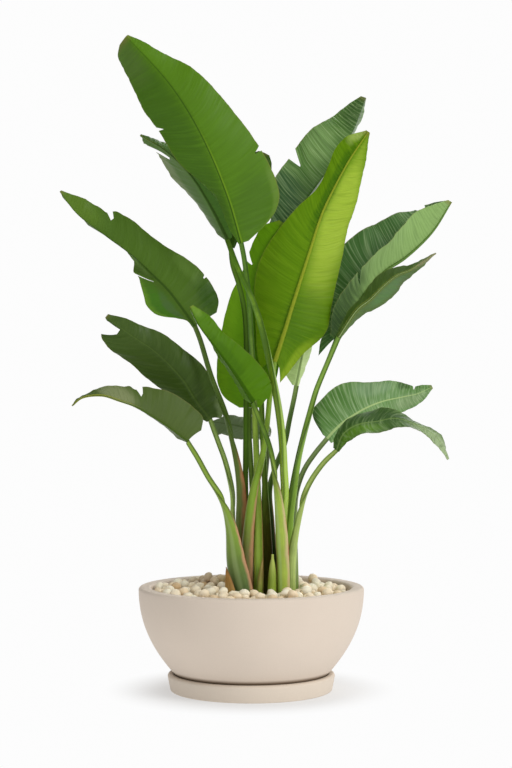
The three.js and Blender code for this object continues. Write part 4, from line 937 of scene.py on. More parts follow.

# %% [markdown]
# No two leaves have the same green: young ones are yellower, old ones bluish, and light falls on
# each in another way, which the looks paint into the colour. So every leaf has a look of its own,
# and all looks share one finish. A patch is a soft spot of another tone, mostly painted light,
# painted shade and painted backlit glow, in places the leaf's own colour: its middle across the
# blade (-1 to 1) and along it (0 to 1), its half width and half height, its colour and its
# strength. A rib is a colour, a half width in millimetres and a strength. Furrow and streak are
# the darker and paler lines between veins; on the glossy leaves the pale streak is a painted sheen
# highlight. Glow is the share of light that comes through.

# %% The looks of the upper leaves
GROOVE = tint(46, 78, 6)
KEEL = tint(156, 160, 56)
GREEN_LIGHT = tint(120, 170, 20)
LOOKS = {
    "tall_left": {
        "upper": tint(84, 126, 14), "under": tint(112, 140, 60), "glow": 0.2,
        "upper_tones_and_painted_light": [((-0.6, 0.5, 0.62, 0.9), tint(64, 102, 18), 0.85),
                          ((-0.7, 0.95, 0.7, 0.2), tint(96, 120, 56), 0.5),
                          ((0.5, 0.1, 0.6, 0.16), tint(70, 106, 26), 0.6),
                          ((0.95, 0.12, 0.12, 0.12), tint(116, 146, 60), 0.6)],
        "upper_rib": (GROOVE, 2.0, 0.9), "upper_beside": (tint(122, 164, 30), 0.8),
        "stripes": 0.5, "gloss": 0.16},
    "behind_left": {
        "upper": tint(80, 113, 47), "under": tint(110, 130, 74), "glow": 0.1,
        # The spot on the right half is painted light, on a half that lies in shade
        "upper_tones_and_painted_light": [((-0.95, 0.4, 0.3, 0.5), tint(140, 152, 112), 0.7),
                          ((0.5, 0.3, 0.7, 0.6), tint(100, 152, 60), 0.8),
                          ((-0.2, 0.75, 0.6, 0.3), tint(82, 114, 40), 0.6)],
        "upper_rib": (tint(50, 76, 18), 4, 0.8), "stripes": 0.5, "gloss": 0.14},
    # Its pale streaks are a painted sheen along the veins
    "upper_back": {
        "upper": tint(86, 126, 54), "under": tint(92, 98, 70), "glow": 0.14,
        "upper_tones_and_painted_light": [((-0.6, 0.22, 0.8, 0.22), tint(58, 92, 62), 0.85),
                          ((-0.6, 0.62, 0.5, 0.14), tint(130, 166, 96), 0.6),
                          ((-0.2, 0.93, 1.0, 0.14), tint(44, 80, 24), 0.75)],
        "upper_rib": (GROOVE, 2, 0.7), "stripes": 0.5, "veins": 0.35, "streak": tint(180, 206, 142),
        "furrow": tint(34, 66, 10), "gloss": 0.4, "rough": 0.34, "ridges": 0.9},
    "bright_centre": {
        "upper": tint(90, 134, 14), "under": tint(104, 146, 4), "glow": 0.34,
        # The bright yellow spots are painted backlit glow and painted highlights; the dark spot left of the
        # midrib is painted shade
        "under_tones_and_painted_light": [((0.55, 0.6, 0.62, 0.42), tint(190, 216, 72), 0.9),
                          ((-0.18, 0.74, 0.34, 0.24), tint(52, 98, 0), 0.85),
                          ((-0.7, 0.97, 0.5, 0.07), tint(200, 222, 120), 0.9),
                          ((0.4, 0.2, 0.6, 0.14), tint(74, 116, 18), 0.6),
                          ((0.9, 0.05, 0.3, 0.1), tint(176, 206, 50), 0.7)],
        "under_rib": (tint(172, 178, 52), 1.8, 0.8), "stripes": 0.5, "streak": tint(146, 184, 36),
        "furrow": tint(70, 116, 0), "through": tint(160, 200, 10), "ridges": 0.8, "gloss": 0.14},
    "right_upper_back": {
        "upper": tint(78, 118, 62), "under": tint(148, 184, 106), "glow": 0.15,
        "under_streak": tint(104, 140, 66),
        # The dark spots at the base of the underside are painted shade; the whitish streaks are a painted
        # sheen
        "under_tones_and_painted_light": [((-0.6, 0.06, 0.9, 0.36), tint(38, 72, 6), 1.0),
                          ((0.6, 0.08, 0.9, 0.34), tint(38, 72, 6), 1.0)],
        "upper_rib": (GROOVE, 2.4, 0.7), "under_rib": (tint(80, 114, 30), 4, 0.8), "stripes": 0.5,
        "veins": 0.35, "streak": tint(196, 218, 160), "furrow": tint(40, 74, 10), "gloss": 0.25,
        "rough": 0.36, "ridges": 0.9},
    "right_upper_front": {
        "upper": tint(80, 108, 44), "under": tint(120, 140, 78), "glow": 0.12,
        "upper_tones_and_painted_light": [((-0.6, 0.4, 0.6, 0.6), tint(54, 80, 20), 0.85),
                          ((0.5, 0.5, 0.4, 0.25), tint(84, 128, 66), 0.8),
                          ((0.2, 1.0, 1.2, 0.22), tint(160, 150, 124), 0.8)],
        "upper_rib": (tint(170, 186, 120), 1.4, 0.8), "stripes": 0.6, "gloss": 0.25},
    "young_front": {
        "upper": tint(84, 130, 0), "under": tint(104, 136, 40), "glow": 0.24,
        "upper_tones_and_painted_light": [((0.2, 0.45, 0.4, 0.3), tint(60, 102, 0), 0.6),
                          ((0.6, 0.96, 0.5, 0.1), tint(126, 164, 56), 0.7)],
        "upper_rib": (tint(54, 92, 0), 6.5, 0.85), "stripes": 0.3, "gloss": 0.12},
    "centre_left_back": {
        "upper": tint(108, 160, 12), "under": tint(108, 136, 46), "glow": 0.32,
        "upper_tones_and_painted_light": [((-0.9, 0.3, 0.4, 0.5), tint(130, 180, 26), 0.7)],
        "upper_rib": (GROOVE, 3, 0.5), "stripes": 0.3, "gloss": 0.14},
}
print("looks:", len(LOOKS))

# %% [markdown]
# The leaves further down are duller, and bluish where the light falls along them. Some have dry
# or worn tips.

# %% The looks of the lower leaves
LOOKS |= {
    "left_long": {
        "upper": tint(76, 108, 28), "under": tint(118, 138, 74), "glow": 0.14,
        "upper_tones_and_painted_light": [((0.5, 0.88, 0.8, 0.2), tint(96, 128, 34), 0.7),
                          ((-0.7, 0.16, 0.6, 0.14), tint(74, 132, 24), 0.85),
                          # The narrow pale spot above the tear is painted light, on a flap that leans into
                          # shade
                          ((-0.8, 0.36, 0.6, 0.06), tint(130, 164, 84), 0.7),
                          ((-0.35, 0.14, 0.2, 0.12), tint(84, 116, 62), 0.8),
                          ((-1.0, 0.12, 0.25, 0.2), tint(120, 170, 40), 0.7),
                          ((0.9, 0.2, 0.3, 0.1), tint(108, 142, 60), 0.6),
                          ((0.8, 0.06, 0.4, 0.1), tint(54, 92, 24), 0.7)],
        "upper_rib": (tint(48, 76, 12), 2.6, 0.85), "stripes": 0.4, "gloss": 0.16},
    "left_mid": {
        "upper": tint(64, 88, 28), "under": tint(110, 126, 70), "glow": 0.08,
        "upper_tones_and_painted_light": [((0.9, 0.03, 0.4, 0.07), tint(126, 146, 90), 0.7),
                          ((-0.5, 0.2, 0.8, 0.3), tint(52, 76, 14), 0.6)],
        "upper_rib": (tint(84, 108, 44), 2.0, 0.6), "stripes": 0.4, "veins": 0.06,
        "streak": tint(96, 116, 60), "gloss": 0.16, "rough": 0.42},
    "left_low": {
        "upper": tint(78, 98, 38), "under": tint(120, 132, 78), "glow": 0.1,
        "upper_tones_and_painted_light": [((0.4, 0.62, 0.8, 0.16), tint(142, 150, 106), 0.85),
                          ((0.0, 0.86, 1.2, 0.1), tint(74, 100, 40), 0.7)],
        "upper_rib": (tint(66, 92, 16), 3, 0.8), "stripes": 0.4, "gloss": 0.16},
    "right_low_back": {
        "upper": tint(104, 146, 78), "under": tint(140, 160, 106), "glow": 0.12,
        "upper_tones_and_painted_light": [((-0.95, 0.02, 0.4, 0.14), tint(34, 72, 14), 0.95),
                          ((-0.5, 0.22, 0.6, 0.2), tint(78, 124, 46), 0.7),
                          # The pale spot on the left half is a painted highlight, and the pale streaks are a
                          # painted sheen
                          ((-0.7, 0.5, 0.4, 0.16), tint(160, 188, 150), 0.5),
                          ((-0.9, 0.74, 0.4, 0.07), tint(46, 84, 20), 0.9),
                          ((0.4, 0.8, 0.6, 0.2), tint(144, 166, 120), 0.6)],
        "upper_rib": (tint(176, 200, 130), 2.4, 0.85), "stripes": 0.5, "veins": 0.35,
        "streak": tint(200, 222, 172), "furrow": tint(56, 98, 36), "gloss": 0.3, "ridges": 0.9},
    "right_low_front": {
        "upper": tint(62, 98, 34), "under": tint(150, 168, 114), "glow": 0.12,
        "upper_tones_and_painted_light": [((0.5, 0.2, 0.6, 0.24), tint(96, 142, 24), 0.9),
                          ((-0.4, 0.35, 0.5, 0.3), tint(44, 78, 24), 0.6),
                          ((0.2, 0.88, 1.4, 0.3), tint(176, 196, 148), 0.95)],
        "upper_rib": (tint(130, 160, 84), 2, 0.7), "stripes": 0.8, "streak": tint(150, 178, 116),
        "gloss": 0.25},
    "low_back": {
        "upper": tint(96, 116, 70), "under": tint(110, 126, 86), "glow": 0.1,
        "upper_rib": (tint(60, 80, 36), 3, 0.6), "stripes": 0.5},
    "back_right": {
        "upper": tint(214, 242, 160), "under": tint(150, 168, 114), "glow": 0.2,
        "upper_rib": (tint(80, 110, 40), 3, 0.6), "stripes": 0.6},
    "hidden_back": {
        "upper": tint(50, 80, 12), "under": tint(110, 130, 70), "glow": 0.1,
        "upper_rib": (GROOVE, 3, 0.6), "stripes": 0.4, "gloss": 0.1},
}
print("looks:", len(LOOKS))

# %% [markdown]
# What a look leaves out is the same for all leaves. Every blade gets two finishes, and then its
# thickness, which gives the second one to the underside.

# %% Dressing the blades
for leaf in LEAVES:
    look = {"upper_rib": (GROOVE, 2.6, 0.8), "under_rib": (KEEL, 5, 0.85), "through": GREEN_LIGHT}
    look.update(LOOKS[leaf["name"]])
    blade = blades[leaf["name"]]
    for face in ("upper", "under"):
        blade.data.materials.append(leaf_finish(leaf, look, face))
    thicken(blade)
    stands_for(blade, "leaf_" + leaf["name"], "blade_" + leaf["name"])
print("leaf finishes:", 2 * len(LEAVES))

# %% [markdown]
# ## The stalks
# Every stalk is a petiole with a shallow channel, and lower down it opens into a sheath that
# wraps the next one. So its section is a crescent that changes on the way up, and turns until
# its channel meets the blade's.

# %% The section and the rings of a stalk
STALK_RINGS = 84
OUTER_ANGLES = np.linspace(-90, 90, 19)
INNER_ANGLES = np.linspace(82, -82, 11)
LIP, LIP_SHARE = 1.6, 0.2
SHEATH_WALL = 6
CHANNEL_SHARE = 0.12
PETIOLE_END = (10, 0.82)
PETIOLE_TAPER = 0.6
SHEATH_START = 0.1
STALK_FOOT = 168.3


def crescent(width, depth, channel):
    """One section: round outside, hollowed to a channel inside, with a lip at each end."""
    outer, inner = np.radians(OUTER_ANGLES), np.radians(INNER_ANGLES)
    lip = min(LIP, width * LIP_SHARE)
    x = np.concatenate([width / 2 * np.sin(outer), (width / 2 - lip) * np.sin(inner)])
    y = np.concatenate([depth / 2 - depth * np.cos(outer), depth / 2 - channel * np.cos(inner)])
    return x, y


def stalk_rings(leaf):
    """Sections from the foot to the blade, in metres, and the stalk's length."""
    route = Route(leaf["stalk"])
    foot_width, foot_depth, sheath_share, opening = leaf["sheath"]
    open_below = np.array([math.cos(math.radians(opening)), math.sin(math.radians(opening)), 0])
    rib_start = midrib_of(leaf).along(0.0)
    right = unit(np.cross(AWAY, rib_start))
    open_above = np.cross(right, rib_start) * leaf["face"]
    rings = []
    for share in np.linspace(0, 1, STALK_RINGS + 1):
        centre = route.at(share)
        blended = smoothstep(share, 0.9, 1.0)
        along = unit(route.along(share) * (1 - blended) + rib_start * blended)
        settle = smoothstep(share, 0.0, 0.05)
        along = unit(along * settle + np.array([0, 0, 1]) * (1 - settle))
        if share == 0:
            centre[2] = STALK_FOOT
        sheathing = 1 - smoothstep(share, leaf.get("sheath_start", SHEATH_START), sheath_share)
        top_part = max(0, (share - SHEATH_START) / (1 - SHEATH_START)) ** PETIOLE_TAPER
        plain = leaf["petiole"] + (PETIOLE_END[0] - leaf["petiole"]) * top_part
        width = plain + (foot_width - plain) * sheathing
        depth = plain * PETIOLE_END[1] + (foot_depth - plain * PETIOLE_END[1]) * sheathing
        shallow = CHANNEL_SHARE * depth
        channel = shallow + (depth - SHEATH_WALL - shallow) * sheathing
        turn = smoothstep(share, 0.3, 0.95)
        facing = open_below * (1 - turn) + open_above * turn
        facing = unit(facing - along * facing.dot(along))
        across = np.cross(facing, along)
        x, y = crescent(width, depth, channel)
        rings.append(centre + x[:, None] * across + y[:, None] * facing)
    return np.array(rings) * MM, route.length * MM


print("points in a stalk's section:", len(OUTER_ANGLES) + len(INNER_ANGLES))

# %% [markdown]
# A grid primitive is rolled into a tube of these crescents, its seam is merged, and its two ends
# are filled. How near a point is to a lip, and how far up the stalk sheathes, are kept as
# attributes, because only the shape knows them. Bowl and saucer end in the same way, so the
# filling has a helper of its own.

# %% A grid rolled into a tube
def fill_ends(smooth_below):
    """Fill the two open ends of the piece that is being edited, and shade it smooth."""
    bpy.ops.mesh.select_mode(type="EDGE")
    bpy.ops.mesh.select_all(action="DESELECT")
    bpy.ops.mesh.select_non_manifold(extend=False)
    bpy.ops.mesh.edge_face_add()
    bpy.ops.mesh.select_all(action="SELECT")
    bpy.ops.mesh.normals_make_consistent(inside=False)
    bpy.ops.object.mode_set(mode="OBJECT")
    bpy.ops.object.shade_smooth_by_angle(angle=smooth_below)


def from_lips(rings):
    """Distance of every point of the rings from the nearer lip, along the section, in metres."""
    closed = np.concatenate([rings, rings[:, :1]], axis=1)
    steps = np.linalg.norm(np.diff(closed, axis=1), axis=2)
    run = np.concatenate([np.zeros((len(rings), 1)), np.cumsum(steps, axis=1)], axis=1)
    other = run[:, len(OUTER_ANGLES) - 1:len(OUTER_ANGLES)]
    return np.minimum(np.minimum(run, run[:, -1:] - run), abs(run - other))


def tube_piece(name, rings, length, sheathing):
    """A grid primitive rolled into a closed tube with filled ends."""
    closed = np.concatenate([rings, rings[:, :1]], axis=1)
    tall, wide = closed.shape[:2]
    across = np.linspace(0, 1, wide)
    along = np.linspace(0, length, tall)
    obj, row, column = grid_piece(name, closed, across, along)
    keep_value(obj.data, "lip", from_lips(rings)[row, column])
    keep_value(obj.data, "sheath", sheathing[row])
    only(obj)
    bpy.ops.object.mode_set(mode="EDIT")
    bpy.ops.mesh.select_all(action="SELECT")
    bpy.ops.mesh.remove_doubles(threshold=1e-6)
    fill_ends(SMOOTH_BELOW)
    return obj


print("tube helper ready")

# %% [markdown]
# A petiole is smooth and glossy green with fine lengthwise lines and darker edges, partly its own
# colour and partly painted shade of its round sides, deeper green towards the blade and yellower
# below, and a sheath's thin lips dry to pinkish tan.

# %% The finish of a stalk
TAN = tint(196, 164, 110)
RUST = tint(150, 80, 48)


def stalk_finish(name, look, length):
    """The finish of a stalk, shoot or scale of a length in metres, from its own look."""
    finish = Finish(name)
    around, along = finish.across_and_along()
    share = along / length
    lip = finish.attribute("lip") * 1000
    sheath = finish.attribute("sheath")
    lines = finish.noise(finish.vector(around * 60, along * 5), 1.0, 3.0, 0.6)
    patches = finish.noise(finish.place(), 26.0, 3.0, 0.55)
    low, top = look["low"], look["top"]
    base = finish.blend((share + (patches - 0.5) * 0.15).above(*look.get("change", (0.3, 0.75))), low, top)
    mix = (lines - 0.5) * 1.8 + (patches - 0.5) * 1.2
    base = finish.blend(mix.clamped() * 0.8, base, shades_of(low, 0.7)[1])
    base = finish.blend((mix * -1.0).clamped() * 0.8, base, shades_of(top, 0.5)[2])
    # Darker edges along the channel: partly the stalk's own darker margin, partly painted shade of its round
    # sides
    margin = (1 - lip.above(1.0, 5.0)) * (1 - sheath.above(0.2, 0.8))
    base = finish.blend(margin * 0.75, base, look.get("edge", shades_of(top, 0.45)[2]))
    # A painted highlight streak at one place round the stalk
    place, half, light, strength = look.get("streak", (0.2, 0.04, low, 0.0))
    streak = 1 - ((around - place).maths("ABSOLUTE") / half + (lines - 0.5)).above(0.3, 1.3)
    base = finish.blend(streak * strength, base, light)
    tan, wide, strength = look.get("lip", (TAN, 5, 0.7))
    ragged = (lip + (patches - 0.5) * wide) / (sheath * 0.75 + 0.25)
    band = (1 - ragged.above(wide * 0.3, wide)) * sheath.above(0.05, 0.5)
    base = finish.blend(band * strength, base, tan)
    rim = (1 - ragged.above(0.3, 1.6)) * sheath.above(0.03, 0.3)
    base = finish.blend(rim * strength, base, look.get("rim", RUST))
    roughness = (patches - 0.5) * 0.3 + 0.36 + band * 0.2
    normal = finish.bump(lines * 0.6 + patches * 0.3, 0.0006, 0.5)
    return finish.surface(finish.skin(base, roughness, normal, look.get("gloss", 0.25)))


print("stalk finish ready")

# %% [markdown]
# Like the blades, the stalks share one finish and differ in their looks: the colours low down and
# at the top and where one turns into the other, the edge of the channel, darker partly as painted
# shade, a painted highlight streak (place round the stalk, half width, colour, strength), the
# dried band at a lip (colour, width in millimetres, strength) and its outermost rim. The two
# stalks deep in the clump have dark low colours and lips as painted shade.

# %% The stalks and their looks
PINK = tint(198, 148, 112)
STALK_LOOKS = {
    "tall_left": {"low": tint(140, 168, 58), "top": tint(72, 112, 22), "change": (0.45, 0.8),
                  "edge": tint(56, 92, 10)},
    "behind_left": {"low": tint(160, 192, 44), "top": tint(70, 108, 14), "change": (0.25, 0.75),
                    "edge": tint(66, 102, 10), "streak": (0.1, 0.06, tint(180, 206, 120), 0.5)},
    # Painted shade: dark low colour and lips for the recess deep in the clump
    "upper_back": {"low": tint(86, 84, 28), "top": tint(104, 138, 50), "change": (0.15, 0.4), "gloss": 0.02,
                   "edge": tint(70, 96, 30), "lip": (tint(60, 44, 22), 3, 0.4), "rim": tint(60, 40, 20)},
    "bright_centre": {"low": tint(108, 106, 54), "top": tint(124, 158, 44), "change": (0.18, 0.42),
                      "lip": (PINK, 18, 0.85), "rim": tint(140, 84, 50)},
    "right_upper_back": {"low": tint(104, 130, 40), "top": tint(92, 130, 40), "lip": (PINK, 4, 0.4)},
    "right_upper_front": {"low": tint(132, 168, 58), "top": tint(122, 156, 60),
                          "edge": tint(60, 94, 14), "lip": (tint(226, 160, 120), 8, 0.85)},
    "young_front": {"low": tint(156, 178, 68), "top": tint(76, 112, 10), "change": (0.4, 0.8),
                    "streak": (0.3, 0.07, tint(170, 200, 116), 0.6), "lip": (tint(200, 180, 132), 13, 0.9),
                    "rim": tint(172, 96, 62)},
    "centre_left_back": {"low": tint(112, 130, 36), "top": tint(88, 118, 36), "edge": tint(66, 92, 22)},
    "left_long": {"low": tint(96, 112, 44), "top": tint(66, 94, 8), "change": (0.3, 0.7),
                  "edge": tint(60, 84, 10), "lip": (tint(180, 126, 84), 15, 0.85)},
    "left_mid": {"low": tint(164, 192, 96), "top": tint(152, 180, 92), "edge": tint(84, 112, 36)},
    "left_low": {"low": tint(84, 106, 54), "top": tint(132, 162, 54), "change": (0.08, 0.5),
                 "edge": tint(66, 90, 10), "streak": (0.36, 0.06, tint(176, 196, 136), 0.35),
                 "lip": (PINK, 12, 0.9), "rim": tint(124, 64, 36)},
    "right_low_back": {"low": tint(124, 148, 74), "top": tint(122, 144, 84)},
    "right_low_front": {"low": tint(174, 196, 110), "top": tint(150, 170, 84), "edge": tint(92, 122, 36)},
    "low_back": {"low": tint(84, 104, 40), "top": tint(100, 118, 60)},
    "back_right": {"low": tint(60, 92, 26), "top": tint(130, 156, 80), "change": (0.85, 1.0)},
    # Painted shade: dark low colour and lips for the recess deep in the clump
    "hidden_back": {"low": tint(52, 48, 14), "top": tint(84, 120, 34), "change": (0.15, 0.45), "gloss": 0.05,
                    "lip": (tint(60, 44, 22), 3, 0.4), "rim": tint(60, 40, 20)},
}

for leaf in LEAVES:
    rings, length = stalk_rings(leaf)
    shares = np.linspace(0, 1, STALK_RINGS + 1)
    sheathing = 1 - smoothstep(shares, leaf.get("sheath_start", SHEATH_START), leaf["sheath"][2])
    stalk = tube_piece("petiole_" + leaf["name"], rings, length, sheathing)
    stalk.data.materials.append(stalk_finish("stalk_" + leaf["name"], STALK_LOOKS[leaf["name"]], length))
    stands_for(stalk, "petiole", "stalk_" + leaf["name"])
print("stalks:", len(LEAVES))

# %% [markdown]
# ## The shoot and the dry scales
# At the foot of the clump a young shoot comes up between the sheaths, and two short scales are
# left from older leaves, one dried to brown paper. They are small stalks that end in a point, so
# the same rolled grid makes them. Each has a route, a width and a depth, the way in which it
# opens, how late it narrows, and the share of its width that is left at the tip.

# %% The shapes of the shoot and the scales
SHOOT_RINGS = 24
SHOOTS = [
  {"name": "shoot_front", "route": [[39, -58, 168], [41, -58, 215], [42, -58, 275]],
   "width": 17, "depth": 11, "open": 90, "bluntness": 4.5, "tip": 0.3},
  {"name": "scale_left", "route": [[-38, -72, 168], [-42, -73, 205], [-49, -75, 252]],
   "width": 28, "depth": 6, "open": 60, "bluntness": 2.2, "tip": 0.06},
  {"name": "scale_centre", "route": [[15, -48, 168], [17, -48, 215], [22, -48, 264]],
   "width": 15, "depth": 7, "open": 90, "bluntness": 2.2, "tip": 0.06},
]


def shoot_rings(shoot):
    """Sections from the foot to the tip, in metres, and the length."""
    route = Route(shoot["route"])
    open_way = np.array([math.cos(math.radians(shoot["open"])), math.sin(math.radians(shoot["open"])), 0])
    across = np.cross(open_way, [0, 0, 1])
    rings = []
    for share in np.linspace(0, 1, SHOOT_RINGS + 1):
        centre = route.at(share)
        if share == 0:
            centre[2] = STALK_FOOT
        taper = max(shoot["tip"], 1 - share ** shoot["bluntness"])
        x, y = crescent(shoot["width"] * taper, shoot["depth"] * taper, shoot["depth"] * taper * 0.2)
        rings.append(centre + x[:, None] * across + y[:, None] * open_way)
    return np.array(rings) * MM, route.length * MM


print("shoots and scales:", len(SHOOTS))

# %% [markdown]
# They take the finish of a stalk, with looks of their own: the shoot is nearly all fresh green,
# and the left scale is brown.

# %% Making the shoot and the scales
SHOOT_LOOKS = {
    "shoot_front": {"low": tint(140, 164, 56), "top": tint(176, 190, 96), "change": (0.5, 0.95),
                    "edge": tint(120, 140, 50), "lip": (tint(190, 196, 120), 2, 0.4),
                    "rim": tint(160, 150, 80)},
    "scale_left": {"low": tint(184, 152, 90), "top": tint(170, 128, 66),
                   "lip": (tint(128, 78, 40), 4, 0.5), "rim": tint(90, 54, 26)},
    "scale_centre": {"low": tint(140, 156, 64), "top": tint(150, 140, 70), "lip": (PINK, 3, 0.8)},
}
for shoot in SHOOTS:
    rings, length = shoot_rings(shoot)
    obj = tube_piece("young_" + shoot["name"], rings, length, np.linspace(0.3, 1, len(rings)))
    obj.data.materials.append(stalk_finish(shoot["name"], SHOOT_LOOKS[shoot["name"]], length))
    stands_for(obj, shoot["name"], shoot["name"])
print("shoots and scales dressed:", len(SHOOT_LOOKS))

# %% [markdown]
# ## Bowl and saucer
# Both are round, so each starts as one circle that is extruded and resized from station to
# station up the outside, over the rim and down the inside, and ends in a point on the axis.

# %% Turning a profile
ROUND_STEPS = 128


def turned(name, profile):
    """A round piece from stations of radius and height in millimetres; both ends on the axis."""
    radius, height = profile[1]
    bpy.ops.object.select_all(action="DESELECT")
    bpy.ops.mesh.primitive_circle_add(vertices=ROUND_STEPS, radius=radius * MM,
                                      location=(0, 0, height * MM))
    obj = bpy.context.object
    obj.name = obj.data.name = name
    bpy.ops.object.transform_apply(location=True)
    bpy.ops.object.mode_set(mode="EDIT")
    bpy.ops.mesh.select_all(action="SELECT")
    for next_radius, next_height in profile[2:-1]:
        rise = (next_height - height) * MM
        bpy.ops.mesh.extrude_region_move(TRANSFORM_OT_translate={"value": (0, 0, rise)})
        grow = next_radius / radius
        bpy.ops.transform.resize(value=(grow, grow, 1), center_override=(0, 0, next_height * MM))
        radius, height = next_radius, next_height
    fill_ends(math.radians(40))
    return obj


def bezier(points, steps):
    """A smooth curve from the first point to the last, drawn by the two between them."""
    t = np.linspace(0, 1, steps + 1)[:, None]
    a, b, c, d = np.array(points, dtype=float)
    return (1 - t) ** 3 * a + 3 * (1 - t) ** 2 * t * b + 3 * (1 - t) * t ** 2 * c + t ** 3 * d


def rounded(corner, radius, start, end, steps=6):
    """An arc of a rounded corner between two directions in degrees."""
    angles = np.radians(np.linspace(start, end, steps + 1))
    return [(corner[0] + radius * math.cos(a), corner[1] + radius * math.sin(a)) for a in angles]


BOWL_STAND = 12.3
BOWL_FLOOR = 28.3
BOWL_WALL = 26
side = bezier([(136, BOWL_STAND + 2), (186, 66), (224, 120), (225, 200)], 28)
inner = [(x - BOWL_WALL, z) for x, z in side[::-1] if 30 < z < 196]
bowl_profile = [(0, BOWL_STAND), (133, BOWL_STAND)] + [tuple(p) for p in side]
bowl_profile += rounded((219, 200), 6, 15, 90) + rounded((205, 200), 6, 90, 172)
bowl_profile += inner + [(114, BOWL_FLOOR), (0, BOWL_FLOOR)]
bowl = turned("planting_bowl", bowl_profile)

saucer_profile = [(0, 0), (159, 0)] + rounded((159, 3), 3, -70, -5)
saucer_profile += rounded((161, 28), 6, 0, 90) + rounded((157, 31), 3, 90, 172)
saucer_profile += [(149, 14), (147, 12), (0, 12)]
saucer = turned("round_saucer", saucer_profile)
print("bowl stations:", len(bowl_profile), "saucer stations:", len(saucer_profile))

# %% [markdown]
# The bowl is a pale beige cast body with no glaze: dead matt, faintly mottled, with small pores.
# Nothing in it follows a map, so the pattern is read from where a point is on the object. The
# bowl stands inside the saucer's rim, and the narrow groove between them is painted dark, as
# shade. It is found by its height and its distance from the middle.

# %% The finish of the bowl and the saucer
def cast_finish(name, colour, low, high, reach):
    """A cast body with painted shade up to a height and within a reach of the middle, in metres."""
    finish = Finish(name)
    place = finish.place()
    clouds = finish.noise(place, 7.0, 3.0, 0.55)
    grain = finish.noise(place, 420.0, 3.0, 0.7)
    mix = ((clouds - 0.5) * 1.1 + (grain - 0.5) * 0.8 + 0.5).clamped()
    base = finish.blend(mix, shades_of(colour, 0.06)[2], shades_of(colour, 0.02)[1])
    height = finish.part(place, "Z")
    # Painted shade in the groove where the bowl stands in the saucer
    painted_groove_shade = (1 - height.above(low, high)) * (1 - finish.distance(place).above(reach, reach + 0.006))
    base = finish.blend(painted_groove_shade * 0.85, base, tint(96, 74, 46))
    normal = finish.bump(grain * 0.7 + clouds * 0.5, 0.0005, 0.35)
    roughness = (clouds - 0.5) * 0.15 + 0.72
    return finish.surface(finish.skin(base, roughness, normal, 0.3))


bowl_body = cast_finish("cast_bowl", tint(221, 206, 190), low=0.0355, high=0.044, reach=0.3)
saucer_body = cast_finish("cast_saucer", tint(225, 211, 194), low=0.024, high=0.035, reach=0.152)
bowl.data.materials.append(bowl_body)
saucer.data.materials.append(saucer_body)
stands_for(bowl, "bowl_clay", "bowl")
stands_for(saucer, "saucer_clay", "saucer")
print("bowl and saucer finished")

# %% [markdown]
# ## Pebbles
# The stones leave the clump free, so the outline round the feet of all the stalks comes first. A
# convex one is found by going along the sorted points and dropping each one that turns inwards.

# %% The outline of the clump
# A stalk's foot is what lies below this height, in millimetres
FEET_BELOW = 222


def clump_outline():
    """The convex outline round the feet of all the stalks, as points in millimetres."""
    tubes = [stalk_rings(leaf)[0] for leaf in LEAVES] + [shoot_rings(shoot)[0] for shoot in SHOOTS]
    points = np.vstack([rings.reshape(-1, 3) for rings in tubes]) / MM
    points = np.unique(points[points[:, 2] < FEET_BELOW][:, :2], axis=0)

    def chain(ordered):
        line = []
        for p in ordered:
            while len(line) > 1:
                a, b = line[-1] - line[-2], p - line[-1]
                if a[0] * b[1] - a[1] * b[0] > 0:
                    break
                line.pop()
            line.append(p)
        return line[:-1]

    return np.array(chain(points) + chain(points[::-1]))


def distance_out(x, y):
    """How far a point lies outside the clump; negative inside."""
    start, end = OUTLINE, np.roll(OUTLINE, -1, axis=0)
    along = unit(end - start)
    normal = np.stack([along[:, 1], -along[:, 0]], axis=1)
    return float(np.max((x - start[:, 0]) * normal[:, 0] + (y - start[:, 1]) * normal[:, 1]))


OUTLINE = clump_outline()
print("corners of the clump's outline:", len(OUTLINE))

# %% [markdown]
# Some three hundred stones lie about two deep over a bed, and are heaped a little at the back
# left. They could be scattered at one height, but then they would cut through each other. So
# each is dropped where it comes to lie lowest among a few random places, on the bed or on stones
# that are already there, as poured stones settle.

# %% Dropping the stones
BED_HEIGHT = 178.0
STONE_COUNT = 330
STONE_RADIUS = 11.2
SIZE_SPREAD = (0.78, 1.2)
STONE_FLATNESS = 0.86
PLACES_TRIED = 40
# Shares of a radius: how far a stone's middle keeps from the clump and lies above the bed, and
# how near two stones may lie, because uneven ones fit into each other
FROM_CLUMP, ABOVE_BED, NEARNESS = 0.6, 0.7, 0.9
FILL_HEIGHT = 196
# The middle of the heap, how far it may rise, and how wide it spreads
HEAP, HEAP_RISE, HEAP_SPREAD = (-78, 62), 20, 38


def inside_of_bowl(height):
    """Inner radius of the bowl at a height, in millimetres."""
    heights = [z for _, z in inner[::-1]]
    return np.interp(height, heights, [x for x, _ in inner[::-1]])


